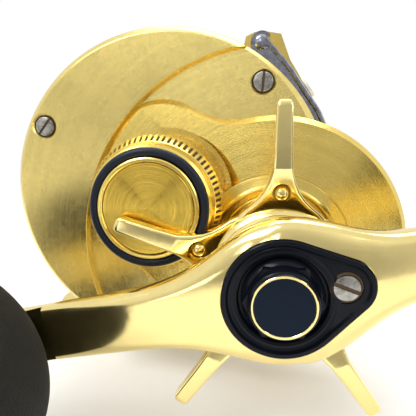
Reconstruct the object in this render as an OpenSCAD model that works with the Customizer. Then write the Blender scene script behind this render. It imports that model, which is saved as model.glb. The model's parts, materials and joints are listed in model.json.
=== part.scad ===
// Round baitcasting reel: two round side covers, star drag, double handle, level wind.
// Pieces are drawn in a side frame: x forward, y up, h out of the gear side, with h = 0 on the
// flat face of the gear side cover and the spool axis at x = 0, y = 0. on_reel() stands that
// frame upright: +X forward, +Y to the palm side, +Z up, origin under the middle of the foot.

/* [Body] */
// Radius of the round side plates
plate_r = 24.5; // [24:0.1:29.5]
// Height of the side plates' lower edge above the foot's underside
plate_low = 3.5; // [3.1:0.1:9]
// Clear width between the frame's side rings
bay_w = 23; // [19:0.1:28]
// Thickness of the frame's side rings
frame_t = 2; // [1.6:0.1:2.4]
// Depth of the gear side cover
cover_depth = 8.5; // [8.5:0.1:11]
// Depth of the palm side cover
palm_depth = 7.5; // [7:0.1:9]
// Wall of both covers
cover_wall = 1.6; // [1.2:0.1:1.8]

/* [Gears] */
// Forward distance from the spool axis to the drive shaft
gear_x = 16.3; // [15.9:0.1:17]
// Height of the drive shaft above the spool axis
gear_z = -7.9; // [-8.4:0.1:-7.3]
// Radius of the round gear bump on the cover
bump_r = 19.6; // [19.3:0.1:20.5]
// Teeth of the drive gear
drive_teeth = 48; // [44:4:52]
// Teeth of the pinion
pinion_teeth = 8; // [8:1:9]
// Teeth of the level wind drive wheel
wind_teeth = 27; // [27:1:28]
// Teeth of the worm wheel
worm_teeth = 14; // [13:1:14]

/* [Spool] */
// Radius of the spool's flanges
spool_r = 16.5; // [13.5:0.1:16.5]
// Radius of the spool shaft
shaft_r = 1.2; // [1:0.05:1.25]

/* [Handle] */
// Distance from the drive shaft to each knob
crank_r = 42; // [35:0.5:51]
// Angle of the handle at rest
handle_angle = 14.5; // [0:0.5:30]
// Radius of the handle knobs
knob_r = 15; // [11:0.1:15.5]
// Length of the handle knobs
knob_len = 20; // [16:0.5:24]

/* [Controls] */
// Radius of the star's arm tips
star_r = 21; // [17.5:0.1:25]
// Number of star arms
star_arms = 5; // [3:1:6]
// Height of the tension knob's face
tension_h = 13.6; // [12:0.1:16]
// Radius of the tension knob at its face
tension_r = 7.4; // [7:0.1:8]

/* [Foot] */
// Length of the foot
foot_l = 56; // [46:1:68]
// Width of the foot
foot_w = 17; // [14:0.5:20]
// Thickness of the foot in the middle
foot_t = 2.6; // [2.2:0.1:3]

/* [Hidden] */
$fn = 64;
hull_fn = 32;
// Radial clearance of round seats between fixed pieces
seat = 0.03;
// Radial clearance of running fits
run = 0.05;
// Gap between moving faces
gap = 0.2;

// Height of the spool axis above the foot's underside
axis_h = plate_r + plate_low;

// Levels along h
ring0_top = -cover_depth;
ring0_bot = ring0_top - frame_t;
ring1_top = ring0_bot - bay_w;
ring1_bot = ring1_top - frame_t;
palm_face = ring1_bot - palm_depth;
face_y = cover_depth + frame_t + bay_w / 2;

// Gear train
gear_d = sqrt(gear_x * gear_x + gear_z * gear_z);
gear_dir = atan2(-gear_z, -gear_x);
gear_m = 2 * gear_d / (drive_teeth + pinion_teeth);
worm_x = gear_x + 7.4;
worm_z = gear_z + 9.8;
worm_d = sqrt(pow(worm_x - gear_x, 2) + pow(worm_z - gear_z, 2));
worm_dir = atan2(worm_z - gear_z, worm_x - gear_x);
worm_m = 2 * worm_d / (wind_teeth + worm_teeth);
pressure_angle = 25;
backlash = 0.1;
wind_bot = ring0_top + gap;
wind_top = wind_bot + 1.1;
ratchet_bot = wind_top + 0.1;
ratchet_top = ratchet_bot + 0.8;
gear_bot = ratchet_top + 0.3;
gear_rim = 1.6;
gear_top = gear_bot + gear_rim;
drag_r = 11.5;
drag_floor = gear_bot + 0.7;
drag_layer = 0.6;
drag_top = drag_floor + 5 * drag_layer;
press_top = drag_top + 0.7;
drive_r = 2;
bearing_r = 4;
drive_bearing_bot = ring0_bot + 0.1;

// Cover face
arc_r = 29.8;
edge = 0.9;
island_h0 = -0.25;
island_slope = 0.129;
recess_h0 = -0.85;
recess_slope = 0.06;
crest_r = 8.7;
crest_along = 3.07;
crest_side = 4.51;
blend_r = 12;
collar_r = 11.1;
bore_r = 9;
bore_floor = 0.9;
clutch_r = 6.5;
clutch_bot = -0.9;
clutch_top = 3;
tube_wall = 0.9;

// Cover screws: angles round the spool axis
screw_angles = [152.5, 49.3, 256];
screw_at = plate_r - 2.7;
screw_r = 1;
head_r = 1.75;
head_t = 0.9;

// Tension knob and its housing
spigot_r = 6;
spigot_top = 6.5;
pocket_r = 10;
pocket_floor = 0.4;
knob_flange_r = 9;
ring_seat = 0.9;
side_bearing_r = 4;

// Pinion, yoke and release
pinion_tube_r = 2.4;
pinion_bearing_r = 5;
yoke_bot = ring0_top + 0.8;
yoke_t = 0.7;
yoke_lift = 0.85;
yoke_post_at = 7;
post_r = 0.8;
pinion_bot = ring0_bot - 0.9;
pinion_tooth_bot = yoke_bot + yoke_t + 0.15;
pinion_top = pinion_tooth_bot + 4.1;
press_travel = 3;

// Level wind
tube_r = 3;
guide_half = 4;
rod_r = 1;
rod_angle = 55;
rod_at = plate_r - 2.3;

// Star
star_bot = tension_h + 0.3;
star_top = star_bot + 2.1;
star_hub_r = 8.5;
star_tip_r = 0.85;
star_sleeve_r = 7.6;
star_sleeve_bot = clutch_top + 0.8;
star_well_r = 5.4;
nut_r = 3.9;

// Handle
hub_bot = star_top + 1.3;
hub_top = hub_bot + 4.8;
hub_r = 7.7;
pocket = 1.7;
arm_mid_top = hub_top - 2.6;
arm_mid_bot = hub_bot - 0.7;
arm_end_top = hub_top - 4.6;
arm_end_bot = hub_bot - 3;
lobe_at = 6.6;
lobe_r = 3.1;
ret_r = 6.6;
post_top = arm_end_top + knob_len - 2.5;

// Small parts
bar_w = 22;
bar_in = plate_r - 3.6;
bar_angles = [[68, 84], [198, 222]];
bush_r = 2.5;
foot_screw_x = [-6.5, 6.5];
foot_screw_y = [-5, 5];
foot_screw_r = 1;
thumb_x = -plate_r + 4.1;
thumb_z = 4.3;
thumb_t = 2.6;
thumb_w = 5.4;
release_bot = ring0_top + 0.1;
dog_at = 11.4;
dog_angle = -62;
dog_turn = 131;
ratchet_teeth = 12;
ratchet_r = 8.4;
sleeve_r = 3.6;
collar_top = island_h0 + island_slope * (arc_r - collar_r) - 0.05;
side_bearing_bot = pocket_floor + 0.1;
palm_bearing_bot = palm_face + cover_wall + 0.6;
palm_bearing_top = palm_bearing_bot + 2;
dial_shaft_r = 1.5;
post_head = pinion_top - 1;
drum_r = 10.2;
spool_top = ring0_bot - 0.4;
spool_bot = ring1_top + 0.4;
arbor_r = 8;
shaft_top = tension_h - 2.4;
pin_h = pinion_bot + 0.3;
pin_r = 0.5;
pinion_shift = 0.35;
wind_shift = 0.1;
pinion_phase = pinion_teeth % 2 == 0 ? 180 / pinion_teeth : 0;
worm_phase = worm_teeth % 2 == 0 ? 180 + 180 / worm_teeth : 180;
arm_w = 4.4;
knob_post_r = 1.6;
knob_bearing_r = 3.2;
knob_cap_r = 4.4;
cap_bot = hub_top - pocket + 2.35;
cap_top = hub_top + 1.7;
knurls = 72;
worm_end_r = 1.3;
worm_r = 1.9;
worm_grooves = 12;
tube_in = 2.2;
pawl_angle = -35;
eye_r = 2.1;
eye_angle = 38;
eye_at = 27;
guide_bow = 30.2;
knuckle_at = 28.85;
knuckle_angle = 60.5;
knuckle_r = 2.05;

// Height of a cover screw's head: the recess is lower than the flat face
function in_recess(a) = norm([screw_at * cos(a) - gear_x, screw_at * sin(a) - gear_z]) < arc_r;
function head_seat(a) = in_recess(a) ? -0.55 : -0.1;
function slot_turn(a) = in_recess(a) ? 85 : 52;

// ---------- helpers ----------

module on_reel() translate([0, -face_y, axis_h]) rotate([90, 0, 0]) children();

module at_gear() translate([gear_x, gear_z, 0]) children();

module at_worm() translate([worm_x, worm_z, 0]) children();

module disc(r, h0, h1) translate([0, 0, h0]) cylinder(r = r, h = h1 - h0);

module ring(ro, ri, h0, h1) {
    difference() {
        disc(ro, h0, h1);
        disc(ri, h0 - 1, h1 + 1);
    }
}

module polar(r, a) rotate([0, 0, a]) translate([r, 0, 0]) children();

module slab(h0, h1) translate([0, 0, h0]) linear_extrude(h1 - h0) children();

// A bar bent round the spool axis between two radii and two angles
module arc_bar(ri, ro, a0, a1, h0, h1) {
    translate([0, 0, h0]) rotate([0, 0, a0]) rotate_extrude(angle = a1 - a0)
        translate([ri, 0]) square([ro - ri, h1 - h0]);
}

module on_circle(r, angles) {
    for (a = angles) rotate([0, 0, a]) translate([r, 0, 0]) rotate([0, 0, -a]) children();
}

// Slotted cheese head screw with its head's top at h = 0, pointing down
module slotted_screw(hr, ht, sr, len, slot_angle) {
    difference() {
        union() {
            disc(hr, -ht, 0);
            disc(sr, -len, -ht);
        }
        rotate([0, 0, slot_angle]) translate([-hr - 1, -0.28, -0.5]) cube([2 * hr + 2, 0.56, 1]);
    }
}

module bearing(ro, ri, h0, h1) {
    ring(ro, ri, h0, h1);
}

// Involute gear outline: teeth, module, profile shift
function inv(a) = tan(a) * 180 / PI - a;
function flank(q, rb, half) = half - inv(acos(min(1, rb / q)));
module gear_2d(n, m, shift) {
    r = m * n / 2;
    rb = r * cos(pressure_angle);
    ra = r + m * (0.9 + shift);
    rf = r - m * (1.25 - shift);
    thick = m * (PI / 2 + 2 * shift * tan(pressure_angle)) - backlash;
    half = thick / (2 * r) * 180 / PI + inv(pressure_angle);
    r0 = max(rb, rf);
    steps = 3;
    qs = [for (i = [0:steps]) r0 + (ra - r0) * i / steps];
    up = [for (q = qs) [q, -flank(q, rb, half)]];
    down = [for (i = [steps:-1:0]) [qs[i], flank(qs[i], rb, half)]];
    foot = rf < rb ? [[rf, -half]] : [];
    heel = rf < rb ? [[rf, half]] : [];
    tooth = concat(foot, up, down, heel);
    polygon([for (k = [0:n - 1]) for (p = tooth)
        [p[0] * cos(p[1] + 360 * k / n), p[0] * sin(p[1] + 360 * k / n)]]);
}

// ---------- side outlines ----------

module side_2d(inset) {
    circle(r = plate_r - inset);
    translate([gear_x, gear_z]) circle(r = bump_r - inset);
}

// Axes along and across the line from the drive shaft to the spool
module along_gears() rotate([0, 0, gear_dir]) children();

// Raised island: the round bump, the boss round the tension knob and the curves that blend them
span = sqrt(pow(gear_d + crest_along, 2) + pow(crest_side, 2));
from_crest = crest_r + blend_r;
from_bump = bump_r + blend_r;
foot_of = (from_crest * from_crest - from_bump * from_bump + span * span) / (2 * span);
rise = sqrt(from_crest * from_crest - foot_of * foot_of);
blend_x = crest_along - (foot_of * (gear_d + crest_along) + rise * crest_side) / span;
blend_y = crest_side + (rise * (gear_d + crest_along) - foot_of * crest_side) / span;

module island_2d() {
    intersection() {
        translate([gear_x, gear_z]) circle(r = arc_r);
        along_gears() {
            difference() {
                polygon([
                    [crest_along + crest_r, -crest_side],
                    [crest_along, -crest_side],
                    [blend_x, -blend_y],
                    [-gear_d, 0],
                    [blend_x, blend_y],
                    [crest_along, crest_side],
                    [crest_along + crest_r, crest_side]
                ]);
                for (s = [-1, 1]) translate([blend_x, s * blend_y]) circle(r = blend_r + 0.06);
            }
            translate([-gear_d, 0]) circle(r = bump_r);
            for (s = [-1, 1]) translate([crest_along, s * crest_side]) circle(r = crest_r);
        }
    }
}

// Solid below a cone about the drive shaft
module below_cone(r1, h1, slope, low) {
    at_gear() rotate_extrude()
        polygon([[0, low], [r1, low], [r1, h1], [0, h1 + slope * r1]]);
}

// ---------- fixed pieces ----------

module bottom_bar_2d() {
    intersection() {
        circle(r = plate_r - 0.2);
        translate([-bar_w / 2, -plate_r]) square([bar_w, plate_r - spool_r - 3]);
    }
    translate([-bar_w / 2 + 2, -axis_h + foot_t]) square([bar_w - 4, axis_h - foot_t - plate_r + 4]);
}

module thumb_slot_2d() {
    translate([thumb_x - 1.2, thumb_z - press_travel - 1.7])
        square([2.4, press_travel + 3.4]);
}

module palm_ring_2d() {
    circle(r = plate_r);
    translate([worm_x, worm_z]) circle(r = tube_r + 1.4);
}

module frame() {
    color("gold") difference() {
        on_reel() difference() {
            union() {
                slab(ring0_bot, ring0_top) side_2d(0);
                slab(ring1_bot, ring1_top) palm_ring_2d();
                slab(ring1_top - 0.5, ring0_bot + 0.5) bottom_bar_2d();
                for (a = bar_angles)
                    arc_bar(bar_in, plate_r - 0.4, a[0], a[1], ring1_top - 0.5, ring0_bot + 0.5);
            }
            disc(spool_r + 0.7, ring1_bot - 1, ring1_top + 1);
            disc(pinion_bearing_r + seat, ring0_bot - 1, ring0_top + 1);
            at_gear() disc(bearing_r + seat, drive_bearing_bot, ring0_top + 1);
            at_worm() {
                disc(tube_r + seat, ring0_bot - 1, ring0_bot + 0.7);
                disc(bush_r + seat, ring0_bot + 0.6, ring0_top + 1);
                disc(tube_r + seat, ring1_top - 0.7, ring1_top + 1);
                disc(bush_r + seat, ring1_bot - 1, ring1_top);
            }
            polar(rod_at, rod_angle) disc(rod_r + seat, ring1_top - 1, ring0_bot + 1);
            for (a = screw_angles) polar(screw_at, a) {
                disc(screw_r + seat, ring0_bot + 0.3, ring0_top + 1);
                disc(screw_r + seat, ring1_bot - 1, ring1_top - 0.3);
            }
            for (h = [ring0_bot, ring1_bot]) slab(h - 1, h + frame_t + 1) thumb_slot_2d();
            for (s = [-1, 1]) along_gears() translate([0, s * yoke_post_at])
                disc(post_r + seat, ring0_bot + 0.5, ring0_top + 1);
            at_gear() polar(dog_at, dog_angle) disc(post_r + seat, ring0_bot + 0.5, ring0_top + 1);
        }
        for (x = foot_screw_x, y = foot_screw_y) translate([x, y, 0])
            cylinder(r = foot_screw_r + seat, h = foot_t + 4.2);
    }
}

module gear_side_cover() {
    color("gold") on_reel() difference() {
        union() {
            difference() {
                rotate_extrude() polygon([
                    [0, ring0_top], [plate_r, ring0_top], [plate_r, -edge],
                    [plate_r - edge, 0], [0, 0]
                ]);
                // shallow turned recess round the drive shaft
                difference() {
                    at_gear() rotate_extrude() polygon([
                        [0, recess_h0 + recess_slope * arc_r], [arc_r, recess_h0],
                        [arc_r, 2], [0, 2]
                    ]);
                    slab(-2, 3) island_2d();
                }
            }
            intersection() {
                slab(ring0_top, 4) island_2d();
                at_gear() rotate_extrude() polygon([
                    [0, -8], [arc_r, -8], [arc_r, island_h0],
                    [collar_r, island_h0 + island_slope * (arc_r - collar_r)],
                    [collar_r, collar_top - 0.15], [collar_r - 0.15, collar_top - 0.15],
                    [collar_r - 0.15, collar_top], [bore_r + 0.4, collar_top + 0.25],
                    [0, collar_top + 0.25]
                ]);
            }
            // tubes that hold the roller clutch and the tension knob
            at_gear() disc(clutch_r + tube_wall, 0, clutch_top);
            disc(spigot_r, 0, spigot_top);
        }
        // gearbox
        difference() {
            slab(ring0_top - 1, -cover_wall - 0.1) side_2d(cover_wall);
            for (a = screw_angles) polar(screw_at, a) disc(screw_r + 1.5, ring0_top - 2, 0);
        }
        at_gear() {
            disc(drag_r + 1.6, ring0_top, 0.3);
            ring(bore_r, clutch_r + tube_wall, bore_floor, 6);
            disc(clutch_r + seat, clutch_bot, 8);
        }
        ring(pocket_r, spigot_r, pocket_floor, spigot_top + 1);
        disc(2.7, -4, 6);
        disc(side_bearing_r + seat, side_bearing_bot, spigot_top + 1);
        for (a = screw_angles) polar(screw_at, a) {
            disc(screw_r + seat, ring0_top - 1, 1);
            disc(head_r + 0.25, head_seat(a) - head_t, 1);
        }
    }
}

module cover_screws() {
    color("silver") on_reel() for (a = screw_angles) polar(screw_at, a)
        translate([0, 0, head_seat(a)])
            slotted_screw(head_r, head_t, screw_r, head_seat(a) - ring0_bot - 0.4, slot_turn(a));
}

module palm_side_cover() {
    color("gold") on_reel() difference() {
        union() {
            rotate_extrude() polygon(concat(
                [[0, ring1_bot], [plate_r, ring1_bot], [plate_r, ring1_bot - 2.5]],
                [for (t = [0:10:80]) [
                    plate_r - 5 + 5 * cos(t), ring1_bot - 2.5 - (palm_depth - 2.5) * sin(t)]],
                [[plate_r - 5, palm_face], [0, palm_face]]));
        }
        difference() {
            translate([0, 0, palm_face + cover_wall]) cylinder(r = plate_r - 5, h = palm_depth);
            disc(bearing_r + 1.3, palm_face, palm_bearing_top);
        }
        disc(spool_r + 2.2, ring1_bot - 3, ring1_bot + 1);
        disc(bearing_r + seat, palm_bearing_bot, ring1_bot + 1);
        disc(dial_shaft_r + run, palm_face - 1, ring1_bot);
        slab(ring1_bot - 1.2, ring1_bot + 1) offset_thumb_2d();
        for (a = screw_angles) polar(screw_at, a) {
            disc(screw_r + seat, palm_face, ring1_bot + 1);
            disc(head_r + 0.25, palm_face - 1, ring1_bot - 1.4);
        }
    }
}

module offset_thumb_2d() {
    translate([thumb_x - 1.5, thumb_z - press_travel - 2]) square([3, press_travel + 4]);
}

module palm_screws() {
    color("silver") on_reel() for (a = screw_angles) polar(screw_at, a)
        translate([0, 0, ring1_bot - 1.4 - head_t]) mirror([0, 0, 1])
            slotted_screw(head_r, head_t, screw_r, head_t + 1.4 + frame_t - 0.4, a);
}

module foot_plan_2d() {
    square([foot_l - foot_w, foot_w], center = true);
    for (s = [-1, 1]) translate([s * (foot_l - foot_w) / 2, 0]) circle(r = foot_w / 2);
}

module reel_foot() {
    tip = 1.1;
    color("gold") difference() {
        intersection() {
            linear_extrude(foot_t) foot_plan_2d();
            rotate([90, 0, 0]) linear_extrude(foot_w + 2, center = true) polygon([
                [-foot_l / 2, 0], [foot_l / 2, 0], [foot_l / 2, tip], [bar_w / 2 + 2, foot_t],
                [-bar_w / 2 - 2, foot_t], [-foot_l / 2, tip]
            ]);
        }
        for (x = foot_screw_x, y = foot_screw_y) translate([x, y, 0]) {
            translate([0, 0, -1]) cylinder(r = foot_screw_r + seat, h = foot_t + 2);
            translate([0, 0, -1]) cylinder(r = foot_screw_r + 0.9, h = 1 + 1.1);
        }
    }
}

module foot_screws() {
    color("silver") for (x = foot_screw_x, y = foot_screw_y) translate([x, y, 0.1])
        mirror([0, 0, 1]) slotted_screw(foot_screw_r + 0.8, 1, foot_screw_r, foot_t + 3.6, 20);
}

module palm_bearing() {
    color("silver") on_reel() bearing(bearing_r, shaft_r + run, palm_bearing_bot, palm_bearing_top);
}

module tension_side_bearing() {
    color("silver") on_reel()
        bearing(side_bearing_r, shaft_r + run, side_bearing_bot, side_bearing_bot + 2.5);
}

module pinion_bearing() {
    color("silver") on_reel()
        bearing(pinion_bearing_r, pinion_tube_r + run, ring0_bot + 0.1, ring0_top - 0.1);
}

module drive_shaft_bearing() {
    color("silver") on_reel() at_gear()
        bearing(bearing_r, drive_r + run, drive_bearing_bot, ring0_top - 0.1);
}

module roller_clutch() {
    color("silver") on_reel() at_gear()
        ring(clutch_r, sleeve_r + run, clutch_bot, clutch_top - 0.1);
}

module yoke_posts() {
    color("silver") on_reel() along_gears() for (s = [-1, 1]) translate([0, s * yoke_post_at]) {
        disc(post_r, ring0_bot + 0.55, post_head);
        disc(post_r + 0.7, post_head, post_head + 0.5);
    }
}

// The two springs at their squeezed length, standing on the yoke
module yoke_springs() {
    turns = 4;
    wire = (post_head - yoke_bot - yoke_t - yoke_lift - 0.1) / turns;
    color("silver") on_reel() along_gears() for (s = [-1, 1])
        translate([0, s * yoke_post_at, yoke_bot + yoke_t]) rotate_extrude() polygon(concat(
            [[post_r + 0.15, turns * wire], [post_r + 0.15, 0]],
            [for (i = [0:turns - 1], p = [[0.35, 0], [0.6, 0.5], [0.35, 1]])
                [post_r + p[0], (i + p[1]) * wire]]));
}

module worm_bushings() {
    color("white") on_reel() at_worm() {
        ring(bush_r, worm_end_r + run, ring0_bot + 0.65, ring0_top - 0.05);
        ring(bush_r, worm_end_r + run, ring1_bot + 0.05, ring1_top - 0.75);
    }
}

// Slotted tube round the worm shaft; the slot lets the pawl reach the groove
module worm_guard_tube() {
    color("silver") on_reel() at_worm() difference() {
        ring(tube_r, tube_in, ring1_top - 0.65, ring0_bot + 0.65);
        rotate([0, 0, pawl_angle]) translate([0, -1.1, ring1_top + 1]) cube([tube_r + 1, 2.2, bay_w - 2]);
    }
}

module guide_rod() {
    color("silver") on_reel() polar(rod_at, rod_angle) disc(rod_r, ring1_top - 0.95, ring0_bot + 0.95);
}

module brake_drum() {
    color("silver") on_reel()
        ring(drum_r + 1, drum_r, palm_face + cover_wall + 0.02, ring1_bot - 1);
}

// ---------- spool ----------

module spool() {
    color("gold") on_reel() rotate_extrude() polygon(concat(
        [
            [shaft_r, spool_top - 2.2], [3.4, spool_top - 2.2], [3.4, spool_top - 1.2], [6, spool_top],
            [spool_r - 0.6, spool_top], [spool_r, spool_top - 0.5], [spool_r, spool_top - 0.9],
            [spool_r - 0.6, spool_top - 1.2]
        ],
        [for (t = [0:15:180]) [
            arbor_r + (spool_r - 2 - arbor_r) * (1 - sin(t)),
            (spool_top + spool_bot) / 2 + (spool_top - spool_bot - 2.4) / 2 * cos(t)]],
        [
            [spool_r - 0.6, spool_bot + 1.2], [spool_r, spool_bot + 0.9], [spool_r, spool_bot + 0.5],
            [spool_r - 0.6, spool_bot], [10, spool_bot], [9, spool_bot + 3], [shaft_r, spool_bot + 3]
        ]));
}

module spool_shaft() {
    color("silver") on_reel() difference() {
        disc(shaft_r - 0.01, palm_bearing_bot - 0.3, shaft_top);
        translate([0, 0, pin_h]) along_gears() rotate([90, 0, 0]) cylinder(r = pin_r + 0.01, h = 9, center = true);
    }
}

module spool_pin() {
    color("silver") on_reel() translate([0, 0, pin_h]) along_gears() rotate([90, 0, 0])
        cylinder(r = pin_r, h = 2 * pinion_tube_r - 0.2, center = true);
}

module brake_rotor() {
    color("dimgray") on_reel() {
        ring(8, shaft_r, spool_bot + 1.9, spool_bot + 2.9);
        for (i = [0:5]) rotate([0, 0, 60 * i]) translate([5.2, 0, 0]) disc(0.45, spool_bot - 1, spool_bot + 1.9);
    }
}

module brake_blocks() {
    color("white") on_reel() for (i = [0:5]) rotate([0, 0, 60 * i]) difference() {
        translate([4.2, -1.3, spool_bot + 0.1]) cube([3.2, 2.6, 1.7]);
        translate([5.2, 0, 0]) disc(0.45 + seat, spool_bot - 2, spool_bot + 3);
    }
}

// ---------- pinion and release ----------

module yoke() {
    color("silver") on_reel() along_gears() difference() {
        union() {
            disc(pinion_tube_r + 2, yoke_bot, yoke_bot + yoke_t);
            translate([-1.9, -yoke_post_at - 1.9, yoke_bot]) cube([3.8, 2 * yoke_post_at + 3.8, yoke_t]);
        }
        disc(pinion_tube_r + run, yoke_bot - 1, yoke_bot + yoke_t + 1);
        for (s = [-1, 1]) translate([0, s * yoke_post_at])
            disc(post_r + run, yoke_bot - 1, yoke_bot + yoke_t + 1);
    }
}

module pinion_gear() {
    shift = pinion_shift;
    color("goldenrod") on_reel() difference() {
        union() {
            disc(pinion_tube_r, pinion_bot, pinion_tooth_bot);
            disc(pinion_tube_r + 0.7, ring0_top, yoke_bot - 0.1);
            slab(pinion_tooth_bot, pinion_top) rotate([0, 0, gear_dir + pinion_phase])
                gear_2d(pinion_teeth, gear_m, shift);
        }
        disc(shaft_r + run, pinion_bot - 1, pinion_top + 1);
        along_gears() translate([-pin_r - run, -5, pinion_bot - 1]) cube([2 * pin_r + 2 * run, 10, 1.85]);
    }
}

module thumb_bar() {
    color("gold") on_reel() difference() {
        union() {
            slab(ring1_top + 0.3, ring0_bot - 0.3) translate([thumb_x, thumb_z]) union() {
                square([thumb_t, thumb_w - thumb_t], center = true);
                for (s = [-1, 1]) translate([0, s * (thumb_w - thumb_t) / 2]) circle(r = thumb_t / 2);
            }
            slab(ring1_bot - 0.8, release_bot) translate([thumb_x, thumb_z])
                square([2, 3], center = true);
        }
    }
}

module release_plate() {
    color("silver") on_reel() slab(release_bot, release_bot + 0.4) polygon([
        [thumb_x - 1, thumb_z - 1.5], [thumb_x + 1.4, thumb_z - 1.5], [-6.6, -0.6], [-6.6, 3.4],
        [thumb_x + 1.4, thumb_z + 1.5], [thumb_x - 1, thumb_z + 1.5]
    ]);
}

// ---------- crank ----------

module drive_shaft() {
    color("silver") on_reel() at_gear() {
        disc(drive_r, ring0_bot + 0.15, hub_top - pocket + 1.4);
        ring(drive_r + 1.6, drive_r, ratchet_top, gear_bot);
    }
}

module wind_drive_wheel() {
    color("white") on_reel() at_gear() slab(wind_bot, wind_top) difference() {
        rotate([0, 0, worm_dir]) gear_2d(wind_teeth, worm_m, -wind_shift);
        circle(r = drive_r);
    }
}

module ratchet_wheel() {
    color("silver") on_reel() at_gear() slab(ratchet_bot, ratchet_top) difference() {
        polygon([for (k = [0:ratchet_teeth - 1]) for (p = [[ratchet_r, 0], [ratchet_r - 1.3, 4]])
            [p[0] * cos(p[1] + 360 * k / ratchet_teeth), p[0] * sin(p[1] + 360 * k / ratchet_teeth)]]);
        circle(r = drive_r);
    }
}

module drive_gear() {
    color("goldenrod") on_reel() at_gear() {
        slab(gear_bot, gear_top) difference() {
            rotate([0, 0, gear_dir + 180]) gear_2d(drive_teeth, gear_m, -pinion_shift);
            circle(r = drag_r + 0.05);
        }
        ring(drag_r + 0.05, drive_r + run, gear_bot, drag_floor);
        ring(drag_r + 0.9, drag_r + 0.05, gear_top, drag_top);
    }
}

module drag_disc(i) ring(drag_r, drive_r + run, drag_floor + i * drag_layer, drag_floor + (i + 1) * drag_layer);

module fibre_washers() {
    color("dimgray") on_reel() at_gear() for (i = [0, 2, 4]) drag_disc(i);
}

module steel_washers() {
    color("silver") on_reel() at_gear() for (i = [1, 3]) drag_disc(i);
}

module pressure_plate() {
    color("silver") on_reel() at_gear() ring(drag_r - 0.6, drive_r + run, drag_top, press_top);
}

module clutch_sleeve() {
    color("silver") on_reel() at_gear() ring(sleeve_r, drive_r + run, press_top, clutch_top + 0.2);
}

module spring_washers() {
    color("silver") on_reel() at_gear() rotate_extrude() {
        for (i = [0, 1]) translate([0, clutch_top + 0.2 + i * 0.9]) polygon(i == 0
            ? [[drive_r + run, 0], [drive_r + 0.5, 0], [5, 0.5], [5, 0.9], [4.8, 0.9], [drive_r + run, 0.4]]
            : [[drive_r + run, 0.5], [4.8, 0], [5, 0], [5, 0.4], [drive_r + 0.5, 0.9], [drive_r + run, 0.9]]);
    }
}

module handle_arm() {
    color("gold") on_reel() at_gear() rotate([0, 0, handle_angle]) difference() {
        union() {
            disc(hub_r, hub_bot, hub_top);
            for (s = [0, 180]) rotate([0, 0, s]) {
                hull() {
                    translate([0, 0, hub_bot]) cylinder(r = 5.6, h = hub_top - hub_bot, $fn = hull_fn);
                    translate([crank_r / 2, 0, arm_mid_bot])
                        cylinder(r = arm_w, h = arm_mid_top - arm_mid_bot, $fn = hull_fn);
                }
                hull() {
                    translate([crank_r / 2, 0, arm_mid_bot])
                        cylinder(r = arm_w, h = arm_mid_top - arm_mid_bot, $fn = hull_fn);
                    translate([crank_r, 0, arm_end_bot])
                        cylinder(r = arm_w, h = arm_end_top - arm_end_bot, $fn = hull_fn);
                }
            }
            // shoulder that carries the lobe of the retainer
            translate([lobe_at, 0, hub_bot]) cylinder(r = lobe_r + 1.1, h = hub_top - hub_bot);
        }
        slab(hub_top - pocket, hub_top + 1) retainer_2d(0.05);
        disc(drive_r + run, hub_bot - 1, hub_top);
        translate([lobe_at, 0, hub_top - pocket - 2]) cylinder(r = 0.7 + seat, h = 3);
        for (s = [-1, 1]) translate([s * crank_r, 0, 0]) {
            disc(knob_post_r + seat, arm_end_bot - 1, arm_end_top + 1);
            // flat seat under the knob
            disc(knob_r * 0.9, arm_end_top, hub_top + 1);
        }
    }
}

module retainer_2d(grow) {
    circle(r = ret_r + grow);
    translate([lobe_at, 0]) circle(r = lobe_r + grow);
    // straight flanks, a little inside the common tangent
    k = acos((ret_r - lobe_r) / lobe_at);
    a = ret_r + grow - 0.2;
    b = lobe_r + grow - 0.2;
    polygon([
        [a * cos(k), a * sin(k)],
        [lobe_at + b * cos(k), b * sin(k)],
        [lobe_at + b * cos(k), -b * sin(k)],
        [a * cos(k), -a * sin(k)]
    ]);
}

module handle_nut() {
    color("dimgray") on_reel() at_gear() difference() {
        union() {
            disc(4.9, hub_top - pocket, hub_top - pocket + 0.5);
            translate([0, 0, hub_top - pocket + 0.5]) cylinder(r = 4.3, h = 1.8, $fn = 6);
        }
        disc(drive_r + run, hub_bot, hub_top + 2);
    }
}

module retainer_plate() {
    color("black") on_reel() at_gear() rotate([0, 0, handle_angle]) difference() {
        union() {
            slab(hub_top - pocket, hub_top - pocket + 0.8) retainer_2d(0);
            ring(ret_r - 0.2, ret_r - 1, hub_top - pocket + 0.79, hub_top - 0.3);
            translate([lobe_at, 0, 0]) disc(lobe_r - 0.3, hub_top - pocket + 0.79, hub_top - 0.6);
        }
        disc(5, hub_bot, hub_top + 1);
        translate([lobe_at, 0, 0]) {
            disc(0.7 + seat, hub_bot, hub_top);
            disc(1.5, hub_top - pocket + 0.8, hub_top + 1);
        }
    }
}

module retainer_screw() {
    color("silver") on_reel() at_gear() rotate([0, 0, handle_angle])
        translate([lobe_at, 0, hub_top - pocket + 1.7])
            slotted_screw(1.4, 0.9, 0.7, 2.8, -50);
}

module nut_cap() {
    color("midnightblue") on_reel() at_gear() rotate_extrude() polygon([
        [0, cap_bot], [4.4, cap_bot], [4.4, cap_bot + 0.4], [3.6, cap_bot + 0.6],
        [3.6, cap_top - 0.3], [3.4, cap_top], [2.9, cap_top], [2.9, cap_top - 0.06], [0, cap_top - 0.06]
    ]);
}

module knob_posts() {
    color("silver") on_reel() at_gear() rotate([0, 0, handle_angle])
        for (s = [-1, 1]) translate([s * crank_r, 0, 0]) {
            disc(knob_post_r, arm_end_bot, post_top);
            disc(knob_post_r + 0.8, arm_end_bot - 0.5, arm_end_bot);
            disc(knob_post_r + 0.9, arm_end_top, arm_end_top + 0.35);
        }
}

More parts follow.
